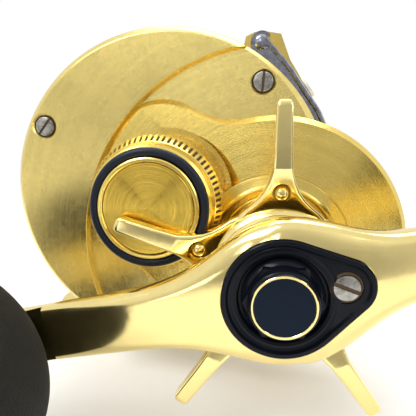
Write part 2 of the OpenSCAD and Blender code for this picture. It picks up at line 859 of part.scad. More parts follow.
// Lathe-turned handle knob, narrow at the arm, fullest near its middle and rounded at the far end
function knob_profile(t) = knob_r * (t < 0.45 ? 1 - 0.3 * pow(1 - t / 0.45, 3.5) : 1 - 0.4 * pow((t - 0.45) / 0.55, 4));

// s picks the arm's end
module knob(s) {
    b = arm_end_top + 0.55;
    color("#222222") on_reel() at_gear() rotate([0, 0, handle_angle]) translate([s * crank_r, 0, 0])
        rotate_extrude() polygon(concat(
            [[knob_cap_r + seat, b + knob_len], [knob_cap_r + seat, b + knob_len - 1.4],
                [knob_bearing_r + seat, b + knob_len - 1.4], [knob_bearing_r + seat, b]],
            [for (i = [0:16]) [knob_profile(i / 16), b + knob_len * i / 16]]));
}

module front_knob() knob(1);

module rear_knob() knob(-1);

module knob_bearings(s) {
    b = arm_end_top + 0.55;
    color("silver") on_reel() at_gear() rotate([0, 0, handle_angle]) translate([s * crank_r, 0, 0]) {
        bearing(knob_bearing_r, knob_post_r + run, b, b + 2);
        bearing(knob_bearing_r, knob_post_r + run, post_top - 2.2, post_top - 0.2);
        // end cap over the outer bearing
        disc(knob_cap_r, b + knob_len - 1.4, b + knob_len - 0.1);
    }
}

module front_knob_bearings() knob_bearings(1);

module rear_knob_bearings() knob_bearings(-1);

// ---------- star ----------

// Arm outline along one side: wide at the hub, narrow along the outer half
function star_side(side, back = false) = let (p = [
    [star_hub_r - 2, 5.2], [star_hub_r + 0.9, 2.9], [star_hub_r + 1.9, 2.15], [star_hub_r + 3.1, 1.6],
    [star_hub_r + 4.4, 1.2], [star_r * 0.77, 0.95], [star_r - star_tip_r, star_tip_r]
]) [for (i = [0:6]) let (q = p[back ? 6 - i : i]) [q[0], q[1] * side]];

function star_tip() = [for (a = [-75:15:75]) [star_r - star_tip_r + star_tip_r * cos(a), star_tip_r * sin(a)]];

module star_drag() {
    color("gold") on_reel() at_gear() difference() {
        union() {
            disc(star_sleeve_r, star_sleeve_bot, star_bot);
            disc(star_hub_r, star_bot - 0.1, star_top + 0.6);
            for (i = [0:star_arms - 1]) rotate([0, 0, 90 + 360 / star_arms * i])
                slab(star_bot, star_top) polygon(concat(star_side(-1), star_tip(), star_side(1, true)));
        }
        disc(star_well_r, star_sleeve_bot - 1, star_bot + 0.4);
        disc(drive_r + run, star_bot, star_top + 1);
        for (i = [0:star_arms - 1]) rotate([0, 0, 90 + 360 / star_arms * i])
            translate([10.3, 0, 0]) disc(1.2, star_top - 0.5, star_top + 1);
    }
}

module drag_nut() {
    color("silver") on_reel() at_gear() difference() {
        disc(star_well_r - 0.1, clutch_top + 2.1, clutch_top + 5.2);
        disc(drive_r + run, clutch_top, clutch_top + 6);
    }
}

// ---------- tension knob ----------

module tension_knob() {
    flange_top = tension_h - 3.4;
    color("gold") on_reel() difference() {
        rotate_extrude() polygon([
            [0, pocket_floor + 0.4], [knob_flange_r - 0.4, pocket_floor + 0.4],
            [knob_flange_r, pocket_floor + 1], [knob_flange_r, flange_top], [knob_flange_r - 0.7, flange_top + 0.5],
            [tension_r + 0.3, flange_top + 1.6], [tension_r + 0.3, tension_h - 1.1],
            [tension_r - ring_seat, tension_h - 1.1], [tension_r - ring_seat, tension_h - 0.1],
            [tension_r - ring_seat - 0.2, tension_h], [tension_r - 1.7, tension_h],
            [tension_r - 1.8, tension_h - 0.1], [0, tension_h - 0.1]
        ]);
        disc(spigot_r + run, 0, spigot_top + 0.4);
        disc(3.4, 0, shaft_top + 0.3);
        for (i = [0:knurls - 1]) rotate([0, 0, 360 / knurls * i])
            translate([knob_flange_r + 0.14, 0, flange_top - 2.4]) rotate([0, 0, 45]) cube([0.35, 0.35, 6], center = true);
    }
}

module tension_ring() {
    color("#10131c") on_reel() translate([0, 0, tension_h - 0.55]) rotate_extrude()
        translate([tension_r - 0.43, 0]) circle(r = 0.43);
}

// ---------- anti-reverse ----------

module anti_reverse_dog() {
    color("silver") on_reel() at_gear() polar(dog_at, dog_angle) {
        slab(ratchet_bot, ratchet_top) difference() {
            union() {
                circle(r = 1.5);
                rotate([0, 0, dog_turn]) polygon([[-0.2, -1.3], [3.2, -0.5], [4.2, 0.4], [3.8, 0.9], [-0.2, 1.3]]);
            }
            circle(r = post_r + run);
        }
    }
}

// ---------- level wind ----------

module worm_shaft() {
    color("silver") on_reel() at_worm() {
        rotate_extrude() polygon(concat(
            [[0, ring1_bot + 0.2], [worm_end_r, ring1_bot + 0.2], [worm_end_r, ring1_top - 0.6]],
            [for (i = [0:worm_grooves - 1], p = [[0, 0], [-0.5, 0.25], [-0.5, 0.5], [0, 0.75]])
                [worm_r + p[0], ring1_top + 0.2 + (i + p[1]) * (bay_w - 0.4) / worm_grooves]],
            [[worm_r, ring0_bot + 0.5], [worm_end_r, ring0_bot + 0.5], [worm_end_r, wind_top], [0, wind_top]]));
    }
}

module worm_wheel() {
    color("white") on_reel() at_worm() slab(wind_bot, wind_top) difference() {
        rotate([0, 0, worm_dir + worm_phase]) gear_2d(worm_teeth, worm_m, wind_shift);
        circle(r = worm_end_r);
    }
}

module line_guide() {
    color("gold") on_reel() translate([0, 0, -face_y]) difference() {
        union() {
            at_worm() disc(tube_r + 2, -guide_half + 1.3, guide_half - 1.3);
            slab(-guide_half + 1.3, guide_half - 1.3) guide_body_2d();
            slab(-guide_half + 1.3, guide_half - 1.3) guide_head_2d();
        }
        at_worm() disc(tube_r + run, -guide_half, guide_half);
        polar(rod_at, rod_angle) disc(rod_r + run, -guide_half, guide_half);
        rotate([0, 0, eye_angle]) translate([spool_r, 0, 0]) rotate([0, 90, 0]) cylinder(r = eye_r, h = 30);
        rotate([0, 0, eye_angle]) translate([eye_at + 1.4, 0, 0]) rotate([0, 90, 0])
            cylinder(r = eye_r + 0.6, h = 30);
        at_worm() rotate([0, 0, pawl_angle]) rotate([0, 90, 0]) cylinder(r = 0.9 + run, h = 10);
    }
}

module guide_cheeks() {
    color("lightgray") on_reel() translate([0, 0, -face_y]) for (s = [-1, 1])
        translate([0, 0, s * (guide_half - 0.62)]) difference() {
            translate([0, 0, -0.62]) linear_extrude(1.24) {
                guide_body_2d();
                at_worm() circle(r = tube_r + 2.2);
                polar(knuckle_at, knuckle_angle) circle(r = knuckle_r);
            }
            at_worm() disc(tube_r + run, -1, 1);
            polar(rod_at, rod_angle) disc(rod_r + run, -1, 1);
        }
}

function along(a, b, t) = a * (1 - t) + b * t;
function bend(a, b, c, t) = along(along(a, b, t), along(b, c, t), t);
function pol(r, a) = [r * cos(a), r * sin(a)];

// Side shape shared by the guide's body and cheeks: straight outer edge, rod lug inside
module guide_body_2d() {
    top = pol(knuckle_at + knuckle_r * 0.8, knuckle_angle - 3);
    elbow = pol(guide_bow, 41);
    low = [worm_x + tube_r + 2, worm_z];
    polygon(concat(
        [for (t = [0:0.125:1]) bend(top, elbow, low, t)],
        [[worm_x - tube_r - 1.6, worm_z + 1]],
        [for (t = [0:0.25:1]) bend(pol(spool_r + 4.4, 14), pol(spool_r + 4.2, 32), pol(rod_at - 2, rod_angle - 5), t)],
        [pol(rod_at - 2, rod_angle + 3), pol(rod_at + 1, rod_angle + 6), pol(knuckle_at - 1, knuckle_angle + 3)]));
}

// Gold block behind the near cheek's knuckle
module guide_head_2d() {
    polygon([
        pol(knuckle_at - 2.4, knuckle_angle + 5.5), pol(knuckle_at - 0.2, knuckle_angle + 6.3),
        pol(knuckle_at + 1.2, knuckle_angle + 4), pol(knuckle_at + 2.3, knuckle_angle),
        pol(knuckle_at + 3.2, knuckle_angle - 4), pol(knuckle_at + 2.1, knuckle_angle - 7),
        pol(knuckle_at + 0.6, knuckle_angle - 12), pol(knuckle_at - 3.5, knuckle_angle - 12)
    ]);
}

module line_ring() {
    color("white") on_reel() translate([0, 0, -face_y]) rotate([0, 0, eye_angle])
        translate([eye_at, 0, 0]) rotate([0, 90, 0]) difference() {
            union() {
                cylinder(r = eye_r - seat, h = 3, center = true);
                translate([0, 0, 1.5]) cylinder(r = eye_r + 0.5, h = 0.5);
            }
            cylinder(r = eye_r - 0.6, h = 5, center = true);
        }
}

module wind_pawl() {
    color("goldenrod") on_reel() translate([0, 0, -face_y]) at_worm() rotate([0, 0, pawl_angle])
        rotate([0, 90, 0]) translate([0, 0, worm_r + 0.1]) cylinder(r = 0.9, h = tube_r + 2.1 - worm_r);
}

// ---------- brake dial ----------

module brake_dial() {
    color("gold") on_reel() {
        disc(dial_shaft_r, palm_face - 0.1, palm_face + cover_wall + 0.2);
        difference() {
            disc(7, palm_face - 2.2, palm_face - 0.05);
            for (i = [0:23]) rotate([0, 0, 15 * i]) translate([7.25, 0, palm_face - 3]) cylinder(r = 0.45, h = 4);
        }
    }
}

frame();
gear_side_cover();
cover_screws();
palm_side_cover();
palm_screws();
reel_foot();
foot_screws();
palm_bearing();
tension_side_bearing();
pinion_bearing();
drive_shaft_bearing();
roller_clutch();
yoke_posts();
yoke_springs();
worm_bushings();
worm_guard_tube();
guide_rod();
brake_drum();
spool();
spool_shaft();
spool_pin();
brake_rotor();
brake_blocks();
yoke();
pinion_gear();
drive_shaft();
drive_gear();
fibre_washers();
steel_washers();
pressure_plate();
ratchet_wheel();
clutch_sleeve();
wind_drive_wheel();
spring_washers();
handle_arm();
handle_nut();
nut_cap();
retainer_plate();
retainer_screw();
knob_posts();
star_drag();
drag_nut();
front_knob();
rear_knob();
front_knob_bearings();
rear_knob_bearings();
tension_knob();
tension_ring();
thumb_bar();
release_plate();
anti_reverse_dog();
worm_shaft();
worm_wheel();
line_guide();
guide_cheeks();
line_ring();
wind_pawl();
brake_dial();
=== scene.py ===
import json
import math

import bmesh
import bpy
from bpy.props import FloatProperty, FloatVectorProperty, PointerProperty
from mathutils import Matrix, Vector


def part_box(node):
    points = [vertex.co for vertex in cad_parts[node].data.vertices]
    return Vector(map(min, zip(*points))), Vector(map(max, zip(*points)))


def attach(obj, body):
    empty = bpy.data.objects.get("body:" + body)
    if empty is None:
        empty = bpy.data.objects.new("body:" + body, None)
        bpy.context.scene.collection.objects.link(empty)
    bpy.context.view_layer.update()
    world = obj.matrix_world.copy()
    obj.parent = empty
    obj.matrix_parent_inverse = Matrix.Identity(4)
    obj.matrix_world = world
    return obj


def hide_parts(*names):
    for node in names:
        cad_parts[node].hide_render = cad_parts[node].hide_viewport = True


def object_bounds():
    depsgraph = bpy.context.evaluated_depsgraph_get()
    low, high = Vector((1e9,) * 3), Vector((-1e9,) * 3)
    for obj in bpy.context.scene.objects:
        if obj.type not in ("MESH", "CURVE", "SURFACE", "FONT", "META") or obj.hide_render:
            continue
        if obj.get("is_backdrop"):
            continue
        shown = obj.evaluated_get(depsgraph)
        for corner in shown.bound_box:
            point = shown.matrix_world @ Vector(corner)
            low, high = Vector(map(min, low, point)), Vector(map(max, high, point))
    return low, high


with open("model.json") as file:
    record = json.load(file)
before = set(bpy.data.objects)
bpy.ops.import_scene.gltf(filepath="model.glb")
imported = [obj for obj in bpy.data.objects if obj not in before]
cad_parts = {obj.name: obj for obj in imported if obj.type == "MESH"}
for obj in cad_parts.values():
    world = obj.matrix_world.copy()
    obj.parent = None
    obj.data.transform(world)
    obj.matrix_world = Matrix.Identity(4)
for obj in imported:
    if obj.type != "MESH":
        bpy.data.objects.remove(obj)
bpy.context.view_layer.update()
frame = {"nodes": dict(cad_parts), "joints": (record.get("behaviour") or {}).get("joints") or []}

bl_info = {
    "name": "Round baitcasting reel",
    "version": (1, 0, 0),
    "blender": (4, 5, 0),
    "location": "View3D > Sidebar > Reel",
    "description": "Builds a gold round reel with a star drag, a double handle and a level wind",
    "category": "Add Mesh",
}

MM = 0.001


def joint(name):
    return next(j for j in frame["joints"] if j["name"] == name)


# The side frame: x forward, y up from the spool axis, h out of the gear side from the cover's face
SPOOL = Vector(joint("spool_spin")["pos_m"])
COVER_DEPTH = 8.5
FACE_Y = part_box("gear_side_cover")[1].y - COVER_DEPTH * MM
SIDE = (
    Matrix.Translation((0, FACE_Y, SPOOL.z))
    @ Matrix.Rotation(math.radians(90), 4, "X")
    @ Matrix.Scale(MM, 4)
)


def side_point(world):
    """A point of the frame as millimetres forward and up from the spool axis"""
    return Vector((world[0], world[2] - SPOOL.z)) / MM


DRIVE = side_point(joint("crank_turn")["pos_m"])
FRONT_KNOB = side_point(joint("front_knob_spin")["pos_m"])
REAR_KNOB = side_point(joint("rear_knob_spin")["pos_m"])
CRANK = (FRONT_KNOB - DRIVE).length
HANDLE_TURN = math.atan2(*reversed(FRONT_KNOB - DRIVE))
GEAR_GAP = DRIVE.length
HUB_TOP = (FACE_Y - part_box("retainer_plate")[0].y) / MM + 0.3
TENSION_FACE = (FACE_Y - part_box("tension_knob")[0].y) / MM
KNOB_RADIUS = (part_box("rear_knob")[1].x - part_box("rear_knob")[0].x) / 2
STAR_TOP = (FACE_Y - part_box("star_drag")[0].y) / MM - 0.6


# ---------- finishes ----------

def sign(operation, reflected=False):
    """A method of Wire that adds the Math node of one arithmetic sign"""
    def method(self, other):
        return self.tree.maths(operation, *((other, self) if reflected else (self, other)))
    return method


class Wire:
    """A shader socket; sums written on it add Math nodes"""

    def __init__(self, tree, socket):
        self.tree = tree
        self.socket = socket

    def other(self, name):
        """Another output of the same node"""
        return Wire(self.tree, self.socket.node.outputs[name])

    __add__ = __radd__ = sign("ADD")
    __sub__ = sign("SUBTRACT")
    __rsub__ = sign("SUBTRACT", reflected=True)
    __mul__ = __rmul__ = sign("MULTIPLY")


class Tree:
    """A node tree in the making"""

    def __init__(self, nodes):
        self.nodes = nodes

    def feed(self, socket, value):
        if isinstance(value, Wire):
            self.nodes.links.new(value.socket, socket)
        else:
            socket.default_value = value

    def node(self, kind, settings=(), values=(), out=0):
        """Adds a node: its settings (or a ramp's stops) first, then the values or wires of its sockets"""
        made = self.nodes.nodes.new(kind)
        for key, value in dict(settings).items():
            if key == "stops":
                points = made.color_ramp.elements
                while len(points) < len(value):
                    points.new(1.0)
                for point, (position, colour) in zip(points, value):
                    point.position = position
                    point.color = (*colour, 1.0)
            else:
                setattr(made, key, value)
        for key, value in dict(values).items():
            self.feed(made.inputs[key], value)
        return Wire(self, made.outputs[out])

    def maths(self, operation, *values):
        return self.node("ShaderNodeMath", {"operation": operation}, enumerate(values))

    def spread(self, value, low, high, to_low, to_high):
        return self.node("ShaderNodeMapRange", {}, {
            "Value": value, "From Min": low, "From Max": high, "To Min": to_low, "To Max": to_high})

    def place(self, centre=(0, 0, 0), turn=(0, 0, 0), scale=(1, 1, 1)):
        """Object coordinates in millimetres about a centre given in metres"""
        here = self.node("ShaderNodeTexCoord", out="Object")
        moved = self.node(
            "ShaderNodeMapping", {},
            {"Vector": here, "Location": [-c / MM for c in centre], "Scale": [1 / MM] * 3})
        if turn == (0, 0, 0) and scale == (1, 1, 1):
            return moved
        return self.node("ShaderNodeMapping", {}, {"Vector": moved, "Rotation": turn, "Scale": scale})

    def noise(self, vector, scale, detail=3.0, roughness=0.6):
        return self.node("ShaderNodeTexNoise", {}, {
            "Vector": vector, "Scale": scale, "Detail": detail, "Roughness": roughness})

    def radius(self, vector):
        """Distance from the pattern's axis, which runs across the reel"""
        x = self.node("ShaderNodeSeparateXYZ", {}, {"Vector": vector}, out="X")
        z = x.other("Z")
        return self.maths("SQRT", x * x + z * z)

    def ramp(self, factor, stops):
        """A colour ramp through (position, colour) stops"""
        return self.node("ShaderNodeValToRGB", {"stops": stops}, {"Fac": factor}, out="Color")


class Finish(Tree):
    """A material in the making, with its main shader"""

    def __init__(self, name, **constants):
        self.material = bpy.data.materials.new(name)
        self.material.use_nodes = True
        super().__init__(self.material.node_tree)
        self.shader = self.nodes.nodes["Principled BSDF"]
        for socket, value in constants.items():
            self.set(socket.replace("_", " "), value)

    def set(self, socket, value):
        self.feed(self.shader.inputs[socket], value)

    def shades(self, mask, colour, *stops):
        """Base colour from a mask, through (position, share of the colour) stops"""
        self.set("Base Color", self.ramp(mask, [(at, tint(colour, share)) for at, share in stops]))

    def roughness(self, mask, low, high):
        self.set("Roughness", self.spread(mask, 0.3, 0.7, low, high))

    def bump(self, height, distance):
        """Height in units of distance, which is in millimetres"""
        self.set("Normal", self.node("ShaderNodeBump", {}, {"Height": height, "Distance": distance * MM}))


def tint(colour, factor):
    return tuple(min(1.0, c * factor) for c in colour)


def turned_metal(name, colour, centre, rough=0.3, groove=0.0022, patch=0.3, pitch=7.0, swell=0.9):
    """Metal with fine lathe rings about an axis across the reel, pitch of them to a millimetre"""
    f = Finish(name, Metallic=1.0)
    at = f.place(centre)
    r = f.radius(at)
    line = {"noise_dimensions": "1D"}
    fine = f.node("ShaderNodeTexNoise", line, {"W": r, "Scale": pitch, "Detail": 4.0, "Roughness": 0.75})
    broad = f.node("ShaderNodeTexNoise", line, {"W": r, "Scale": 0.9, "Detail": 2.0})
    cloud = f.noise(at, patch, 3.0)
    f.shades(fine * 0.45 + broad * 0.25 + cloud * 0.3, colour, (0.25, 0.86), (0.5, 1.0), (0.75, 1.1))
    f.roughness(fine * 0.5 + cloud * 0.5, rough * 0.8, rough * 1.25)
    f.bump(fine * 0.8 + broad * swell + f.noise(at, 30.0, 2.0) * 0.12, groove * 10)


def satin_metal(name, colour):
    """Blasted and anodised metal"""
    f = Finish(name, Metallic=1.0)
    at = f.place()
    speck = f.noise(at, 14.0, 4.0, 0.7)
    cloud = f.noise(at, 0.22, 3.0)
    f.shades(speck * 0.4 + cloud * 0.6, colour, (0.3, 0.9), (0.5, 1.0), (0.7, 1.06))
    f.roughness(speck * 0.5 + cloud * 0.5, 0.34 * 0.85, 0.34 * 1.2)
    f.bump(speck, 0.0035)


def polished_metal(name, colour, rough):
    """Polished metal with faint hand-polishing ripple and hairlines"""
    f = Finish(name, Metallic=1.0)
    at = f.place()
    cloud = f.noise(at, 0.35, 2.0)
    hair = f.noise(f.place(turn=(0.2, 0.5, 0.1), scale=(0.3, 9.0, 9.0)), 3.0, 3.0, 0.7)
    f.shades(cloud * 0.7 + hair * 0.3, colour, (0.3, 0.95), (0.7, 1.04))
    f.roughness(hair * 0.5 + cloud * 0.5, rough * 0.75, rough * 1.4)
    f.bump(cloud * 4.0 + hair * 0.1, 0.004)


def brushed_steel(name, colour, rough, stain):
    """Turned screws and shafts with darker stains"""
    f = Finish(name, Metallic=1.0)
    at = f.place()
    streak = f.noise(f.place(turn=(0.0, 0.7, 0.0), scale=(0.5, 1.0, 7.0)), 4.0, 4.0, 0.7)
    cloud = f.noise(at, 1.1, 3.0)
    f.shades(cloud * 0.6 + streak * 0.4, colour, (0.3, 1 - stain), (0.55, 1.0), (0.8, 1.2))
    f.roughness(streak, rough * 0.7, rough * 1.4)
    f.bump(streak, 0.004)


def plastic(name, colour, rough, grain, scale=6.0, shine=0.5):
    """Moulded plastic or rubber with a fine grain"""
    f = Finish(name, Specular_IOR_Level=shine)
    at = f.place()
    cloud = f.noise(at, 0.5, 2.0)
    speck = f.noise(at, scale, 3.0)
    f.shades(cloud, colour, (0.3, 0.85), (0.7, 1.15))
    f.roughness(speck, rough * 0.85, rough * 1.2)
    f.bump(speck, grain)


def foam_rubber(name, colour):
    """Dense closed-cell foam: matte, with fine pores and pale specks"""
    f = Finish(name, Sheen_Weight=0.02, Sheen_Roughness=0.5, Specular_IOR_Level=0.2)
    at = f.place()
    pore = f.node("ShaderNodeTexVoronoi", {"feature": "F1"}, {"Vector": at, "Scale": 3.4, "Randomness": 1.0})
    grain = f.noise(at, 5.0, 5.0, 0.75)
    cloud = f.noise(at, 0.3, 2.0)
    f.shades(grain * 0.7 + cloud * 0.3, colour, (0.3, 0.5), (0.52, 1.0), (0.66, 2.2), (0.8, 4.5))
    f.roughness(grain, 0.62, 0.85)
    f.bump(grain + pore * 0.5, 0.09)


def woven_fibre(name, colour):
    """Carbon fibre weave on the drag washers"""
    f = Finish(name)
    at = f.place(turn=(0.0, 0.78, 0.0))
    check = f.node("ShaderNodeTexChecker", {}, {"Vector": at, "Scale": 1.6}, out="Fac")
    thread = f.noise(at, 8.0, 2.0)
    f.shades(check * 0.7 + thread * 0.3, colour, (0.2, 0.5), (0.9, 1.8))
    f.set("Roughness", f.spread(check, 0.0, 1.0, 0.35, 0.6))
    f.bump(check + thread * 0.4, 0.03)


# ---------- shaping ----------

SHARP = 32
CREASE = 30
MERGED = 1e-4


def lathe(bm, profile, centre=(0, 0), steps=128, base=0.0):
    """Spins a profile of (radius, height over the base) points, which ends on the axis or is a ring's section"""
    before = set(bm.verts)
    verts = [bm.verts.new((r, 0, base + h)) for r, h in profile]
    on_axis = profile[0][0] == profile[-1][0] == 0
    edges = [bm.edges.new(pair) for pair in zip(verts, verts[1:] + verts[:0 if on_axis else 1])]
    bmesh.ops.spin(
        bm, geom=verts + edges, cent=(0, 0, 0), axis=(0, 0, 1), angle=math.tau, steps=steps, use_merge=True)
    bmesh.ops.remove_doubles(bm, verts=[v for v in bm.verts if v not in before], dist=1e-5)
    bmesh.ops.translate(bm, verts=[v for v in bm.verts if v not in before], vec=(*centre, 0))


def turning(profile, **options):
    """A mesh of one lathed profile"""
    bm = bmesh.new()
    lathe(bm, profile, **options)
    return bm


def polar(radius, angle):
    """The point at an angle in degrees"""
    return radius * math.cos(math.radians(angle)), radius * math.sin(math.radians(angle))


def arc(bm, centre, radius, start, sweep, steps):
    """A chain of edges along an arc; gives its first and last vertex"""
    x, y = polar(radius, start)
    first = bm.verts.new((centre[0] + x, centre[1] + y, 0))
    spun = bmesh.ops.spin(
        bm, geom=[first], cent=(*centre, 0), axis=(0, 0, 1), angle=math.radians(sweep), steps=steps)
    return first, spun["geom_last"][0]


def outline(bm, arcs):
    """A flat face inside a loop of arcs and corner points"""
    ends = []
    for item in arcs:
        if len(item) == 2:
            corner = bm.verts.new((*item, 0))
            ends.append((corner, corner))
        else:
            ends.append(arc(bm, *item))
    for (_, last), (first, _) in zip(ends, ends[1:] + ends[:1]):
        bm.edges.new((last, first))
    merge(bm, 1e-3)
    face = bmesh.ops.contextual_create(bm, geom=bm.edges[:])["faces"][0]
    face.normal_update()
    if face.normal.z < 0:
        face.normal_flip()
    return face


def lift(bm, faces, height):
    """Extrudes faces along h and gives the new cap faces"""
    made = bmesh.ops.extrude_face_region(bm, geom=list(faces))["geom"]
    bmesh.ops.translate(bm, verts=[g for g in made if isinstance(g, bmesh.types.BMVert)], vec=(0, 0, height))
    return [g for g in made if isinstance(g, bmesh.types.BMFace)]


def merge(bm, distance):
    bmesh.ops.remove_doubles(bm, verts=bm.verts, dist=distance)


def soften(bm, offset, segments, pick=None, angle=CREASE):
    """Bevels the edges that turn more than an angle, or those that pick chooses"""
    limit = math.radians(angle)
    edges = [
        e for e in bm.edges if e.is_manifold and e.calc_face_angle(0) > limit and (pick is None or pick(e))]
    bmesh.ops.bevel(
        bm, geom=edges, offset=offset, segments=segments, affect="EDGES", profile=0.5, material=-1,
        clamp_overlap=True)


def loft(bm, sections, segments=24):
    """Bridges a row of closed sections, each a function from an angle to a point"""
    loops = []
    for index, section in enumerate(sections):
        ends = index in (0, len(sections) - 1)
        verts = bmesh.ops.create_circle(bm, cap_ends=ends, radius=1, segments=segments)["verts"]
        for v in verts:
            v.co = section(math.atan2(v.co.y, v.co.x))
        loops.append([e for e in {e for v in verts for e in v.link_edges} if all(w in verts for w in e.verts)])
    for one, other in zip(loops, loops[1:]):
        bmesh.ops.bridge_loops(bm, edges=one + other)


def block(angle, half_width, half_height, corner):
    """A rounded rectangle's point at an angle, as (across, up); a smaller corner is sharper"""
    c, s = math.cos(angle), math.sin(angle)
    return half_width * math.copysign(abs(c) ** corner, c), half_height * math.copysign(abs(s) ** corner, s)


def turned_about(bm, verts, angle):
    """Turns vertices about the mesh's own axis"""
    bmesh.ops.rotate(bm, verts=verts, cent=(0, 0, 0), matrix=Matrix.Rotation(angle, 3, "Z"))


def slide(bm, at, height=0.0):
    bmesh.ops.translate(bm, verts=bm.verts, vec=(*at, height))


def onto_handle(bm):
    """Moves a mesh from the handle's straight layout to its place at rest"""
    turned_about(bm, bm.verts, HANDLE_TURN)
    slide(bm, DRIVE)


def finish_piece(name, bm, body, slot, material, *replaces):
    """Stands a side-frame mesh in the reel and lets it ride on a body in place of CAD nodes"""
    bm.transform(SIDE)
    bmesh.ops.recalc_face_normals(bm, faces=bm.faces)
    limit = math.radians(SHARP)
    for face in bm.faces:
        face.smooth = True
    for edge in bm.edges:
        edge.smooth = not (edge.is_manifold and edge.calc_face_angle(0) > limit)
    mesh = bpy.data.meshes.new(name)
    bm.to_mesh(mesh)
    bm.free()
    mesh.materials.append(bpy.data.materials[material])
    piece = bpy.data.objects.new(name, mesh)
    bpy.context.scene.collection.objects.link(piece)
    normals = piece.modifiers.new("Face normals", "WEIGHTED_NORMAL")
    normals.keep_sharp = True
    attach(piece, body)
    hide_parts(*replaces)


def cut(bm, *cutters):
    """Takes closed meshes away from another, with the Boolean modifier"""
    def to_object(source):
        bmesh.ops.recalc_face_normals(source, faces=source.faces)
        mesh = bpy.data.meshes.new("cut")
        source.to_mesh(mesh)
        source.free()
        made = bpy.data.objects.new("cut", mesh)
        bpy.context.scene.collection.objects.link(made)
        return made

    body = to_object(bm)
    tools = [to_object(c) for c in cutters]
    for tool in tools:
        step = body.modifiers.new("cut", "BOOLEAN")
        step.operation = "DIFFERENCE"
        step.solver = "MANIFOLD"
        step.object = tool
    bpy.context.view_layer.update()
    evaluated = body.evaluated_get(bpy.context.evaluated_depsgraph_get())
    result = bmesh.new()
    result.from_mesh(evaluated.to_mesh())
    evaluated.to_mesh_clear()
    for made in [body, *tools]:
        data = made.data
        bpy.data.objects.remove(made)
        bpy.data.meshes.remove(data)
    merge(result, MERGED)
    bmesh.ops.dissolve_degenerate(result, edges=result.edges, dist=MERGED)
    return result


def softened(name, offset, segments=2):
    """A copy of a CAD piece in the side frame with its flat faces merged and its edges rounded"""
    source = frame["nodes"][name]
    bm = bmesh.new()
    bm.from_mesh(source.data)
    bm.transform(SIDE.inverted() @ source.matrix_world)
    merge(bm, 2e-3)
    bmesh.ops.dissolve_limit(bm, angle_limit=math.radians(0.6), verts=bm.verts, edges=bm.edges)
    if offset:
        soften(bm, offset, segments, angle=SHARP)
    return bm


# ---------- gear side cover ----------

ARC_R = 29.8
PLATE_R = 24.5
BUMP_R = 19.6
CREST_R = 8.7
CREST_ALONG = 3.07
CREST_SIDE = 4.51
BLEND_R = 12.0
COLLAR_R = 11.1
BORE_R = 6.53
HOLLOW_R = 22.9
PLATE_BACK = -1.7
SCREW_R = 21.8
SCREW_ANGLES = (152.5, 49.3, 256.0)


def island_height(r):
    return -0.25 + 0.129 * (ARC_R - r)


def recess_height(r):
    return -0.85 + 0.06 * (ARC_R - r)


def in_recess(x, y):
    return math.hypot(x - DRIVE.x, y - DRIVE.y) < ARC_R


def screw_seat(angle):
    x, y = polar(SCREW_R, angle)
    return (x, y), (-0.55 if in_recess(x, y) else -0.1)


def island_outline(bm):
    """The raised gear housing's outline, with its axis at the origin and the spool along +x"""
    u, v = GEAR_GAP + CREST_ALONG, CREST_SIDE
    reach = math.hypot(u, v)
    tilt = math.degrees(math.atan2(v, u))
    far = BUMP_R + BLEND_R
    near = CREST_R + BLEND_R
    swing = math.degrees(math.acos((far ** 2 + reach ** 2 - near ** 2) / (2 * far * reach)))
    blend = polar(far, tilt + swing)
    to_crest = math.degrees(math.atan2(v - blend[1], u - blend[0])) % 360
    half = math.degrees(math.acos((ARC_R ** 2 - reach ** 2 - CREST_R ** 2) / (2 * reach * CREST_R)))
    start = tilt + half
    x, y = polar(CREST_R, start)
    edge = math.degrees(math.atan2(v + y, u + x))
    outer = (180 + to_crest) % 360
    into = 180 + tilt + swing
    arcs = [
        ((0, 0), ARC_R, 0, edge, 10),
        ((u, v), CREST_R, start, outer - start, 16),
        (blend, BLEND_R, to_crest, into - to_crest, 12),
        ((0, 0), BUMP_R, tilt + swing, 180 - tilt - swing, 48),
    ]
    mirrored = [((c[0], -c[1]), r, -a - s, s, n) for c, r, a, s, n in reversed(arcs)]
    return outline(bm, arcs + mirrored)


def gear_housing():
    """The raised housing: a cone about the drive shaft inside a bevelled wavy edge"""
    bevel = 0.72
    bm = bmesh.new()
    bottom = island_outline(bm)
    slide(bm, (0, 0), -COVER_DEPTH)
    [top] = lift(bm, [bottom], COVER_DEPTH)
    for v in top.verts:
        v.co.z = island_height(v.co.xy.length) - bevel
    bmesh.ops.inset_region(bm, faces=[top], thickness=bevel, use_even_offset=True)
    for v in top.verts:
        v.co.z = island_height(v.co.xy.length)
    for radius in (24.0, 21.5, 18.0, 14.5, COLLAR_R + 0.12):
        [top] = lift(bm, [top], 0)
        for v in top.verts:
            distance = min(v.co.xy.length, radius)
            v.co.xy = v.co.xy.normalized() * distance
            v.co.z = island_height(distance)
    [top] = lift(bm, [top], 0)
    for v in top.verts:
        v.co.z = -COVER_DEPTH
    merge(bm, 1e-3)
    bmesh.ops.delete(bm, geom=[f for f in bm.faces if f.is_valid and len(f.verts) > 20], context="FACES")
    rim = [e for e in bm.edges if e.is_boundary]
    bmesh.ops.bridge_loops(bm, edges=rim)
    spin = math.atan2(-DRIVE.y, -DRIVE.x)
    turned_about(bm, bm.verts, spin)
    slide(bm, DRIVE)
    pocket = turning([(0, 0.4), (9.95, 0.4), (9.95, 0.95), (11.5, 2.5), (11.5, 5), (0, 5)])
    cavity, bay = (
        turning([(0, -12), (r, -12), (r, PLATE_BACK), (0, PLATE_BACK)], centre=centre)
        for r, centre in ((HOLLOW_R, (0, 0)), (18, DRIVE)))
    return cut(bm, pocket, cavity, bay)


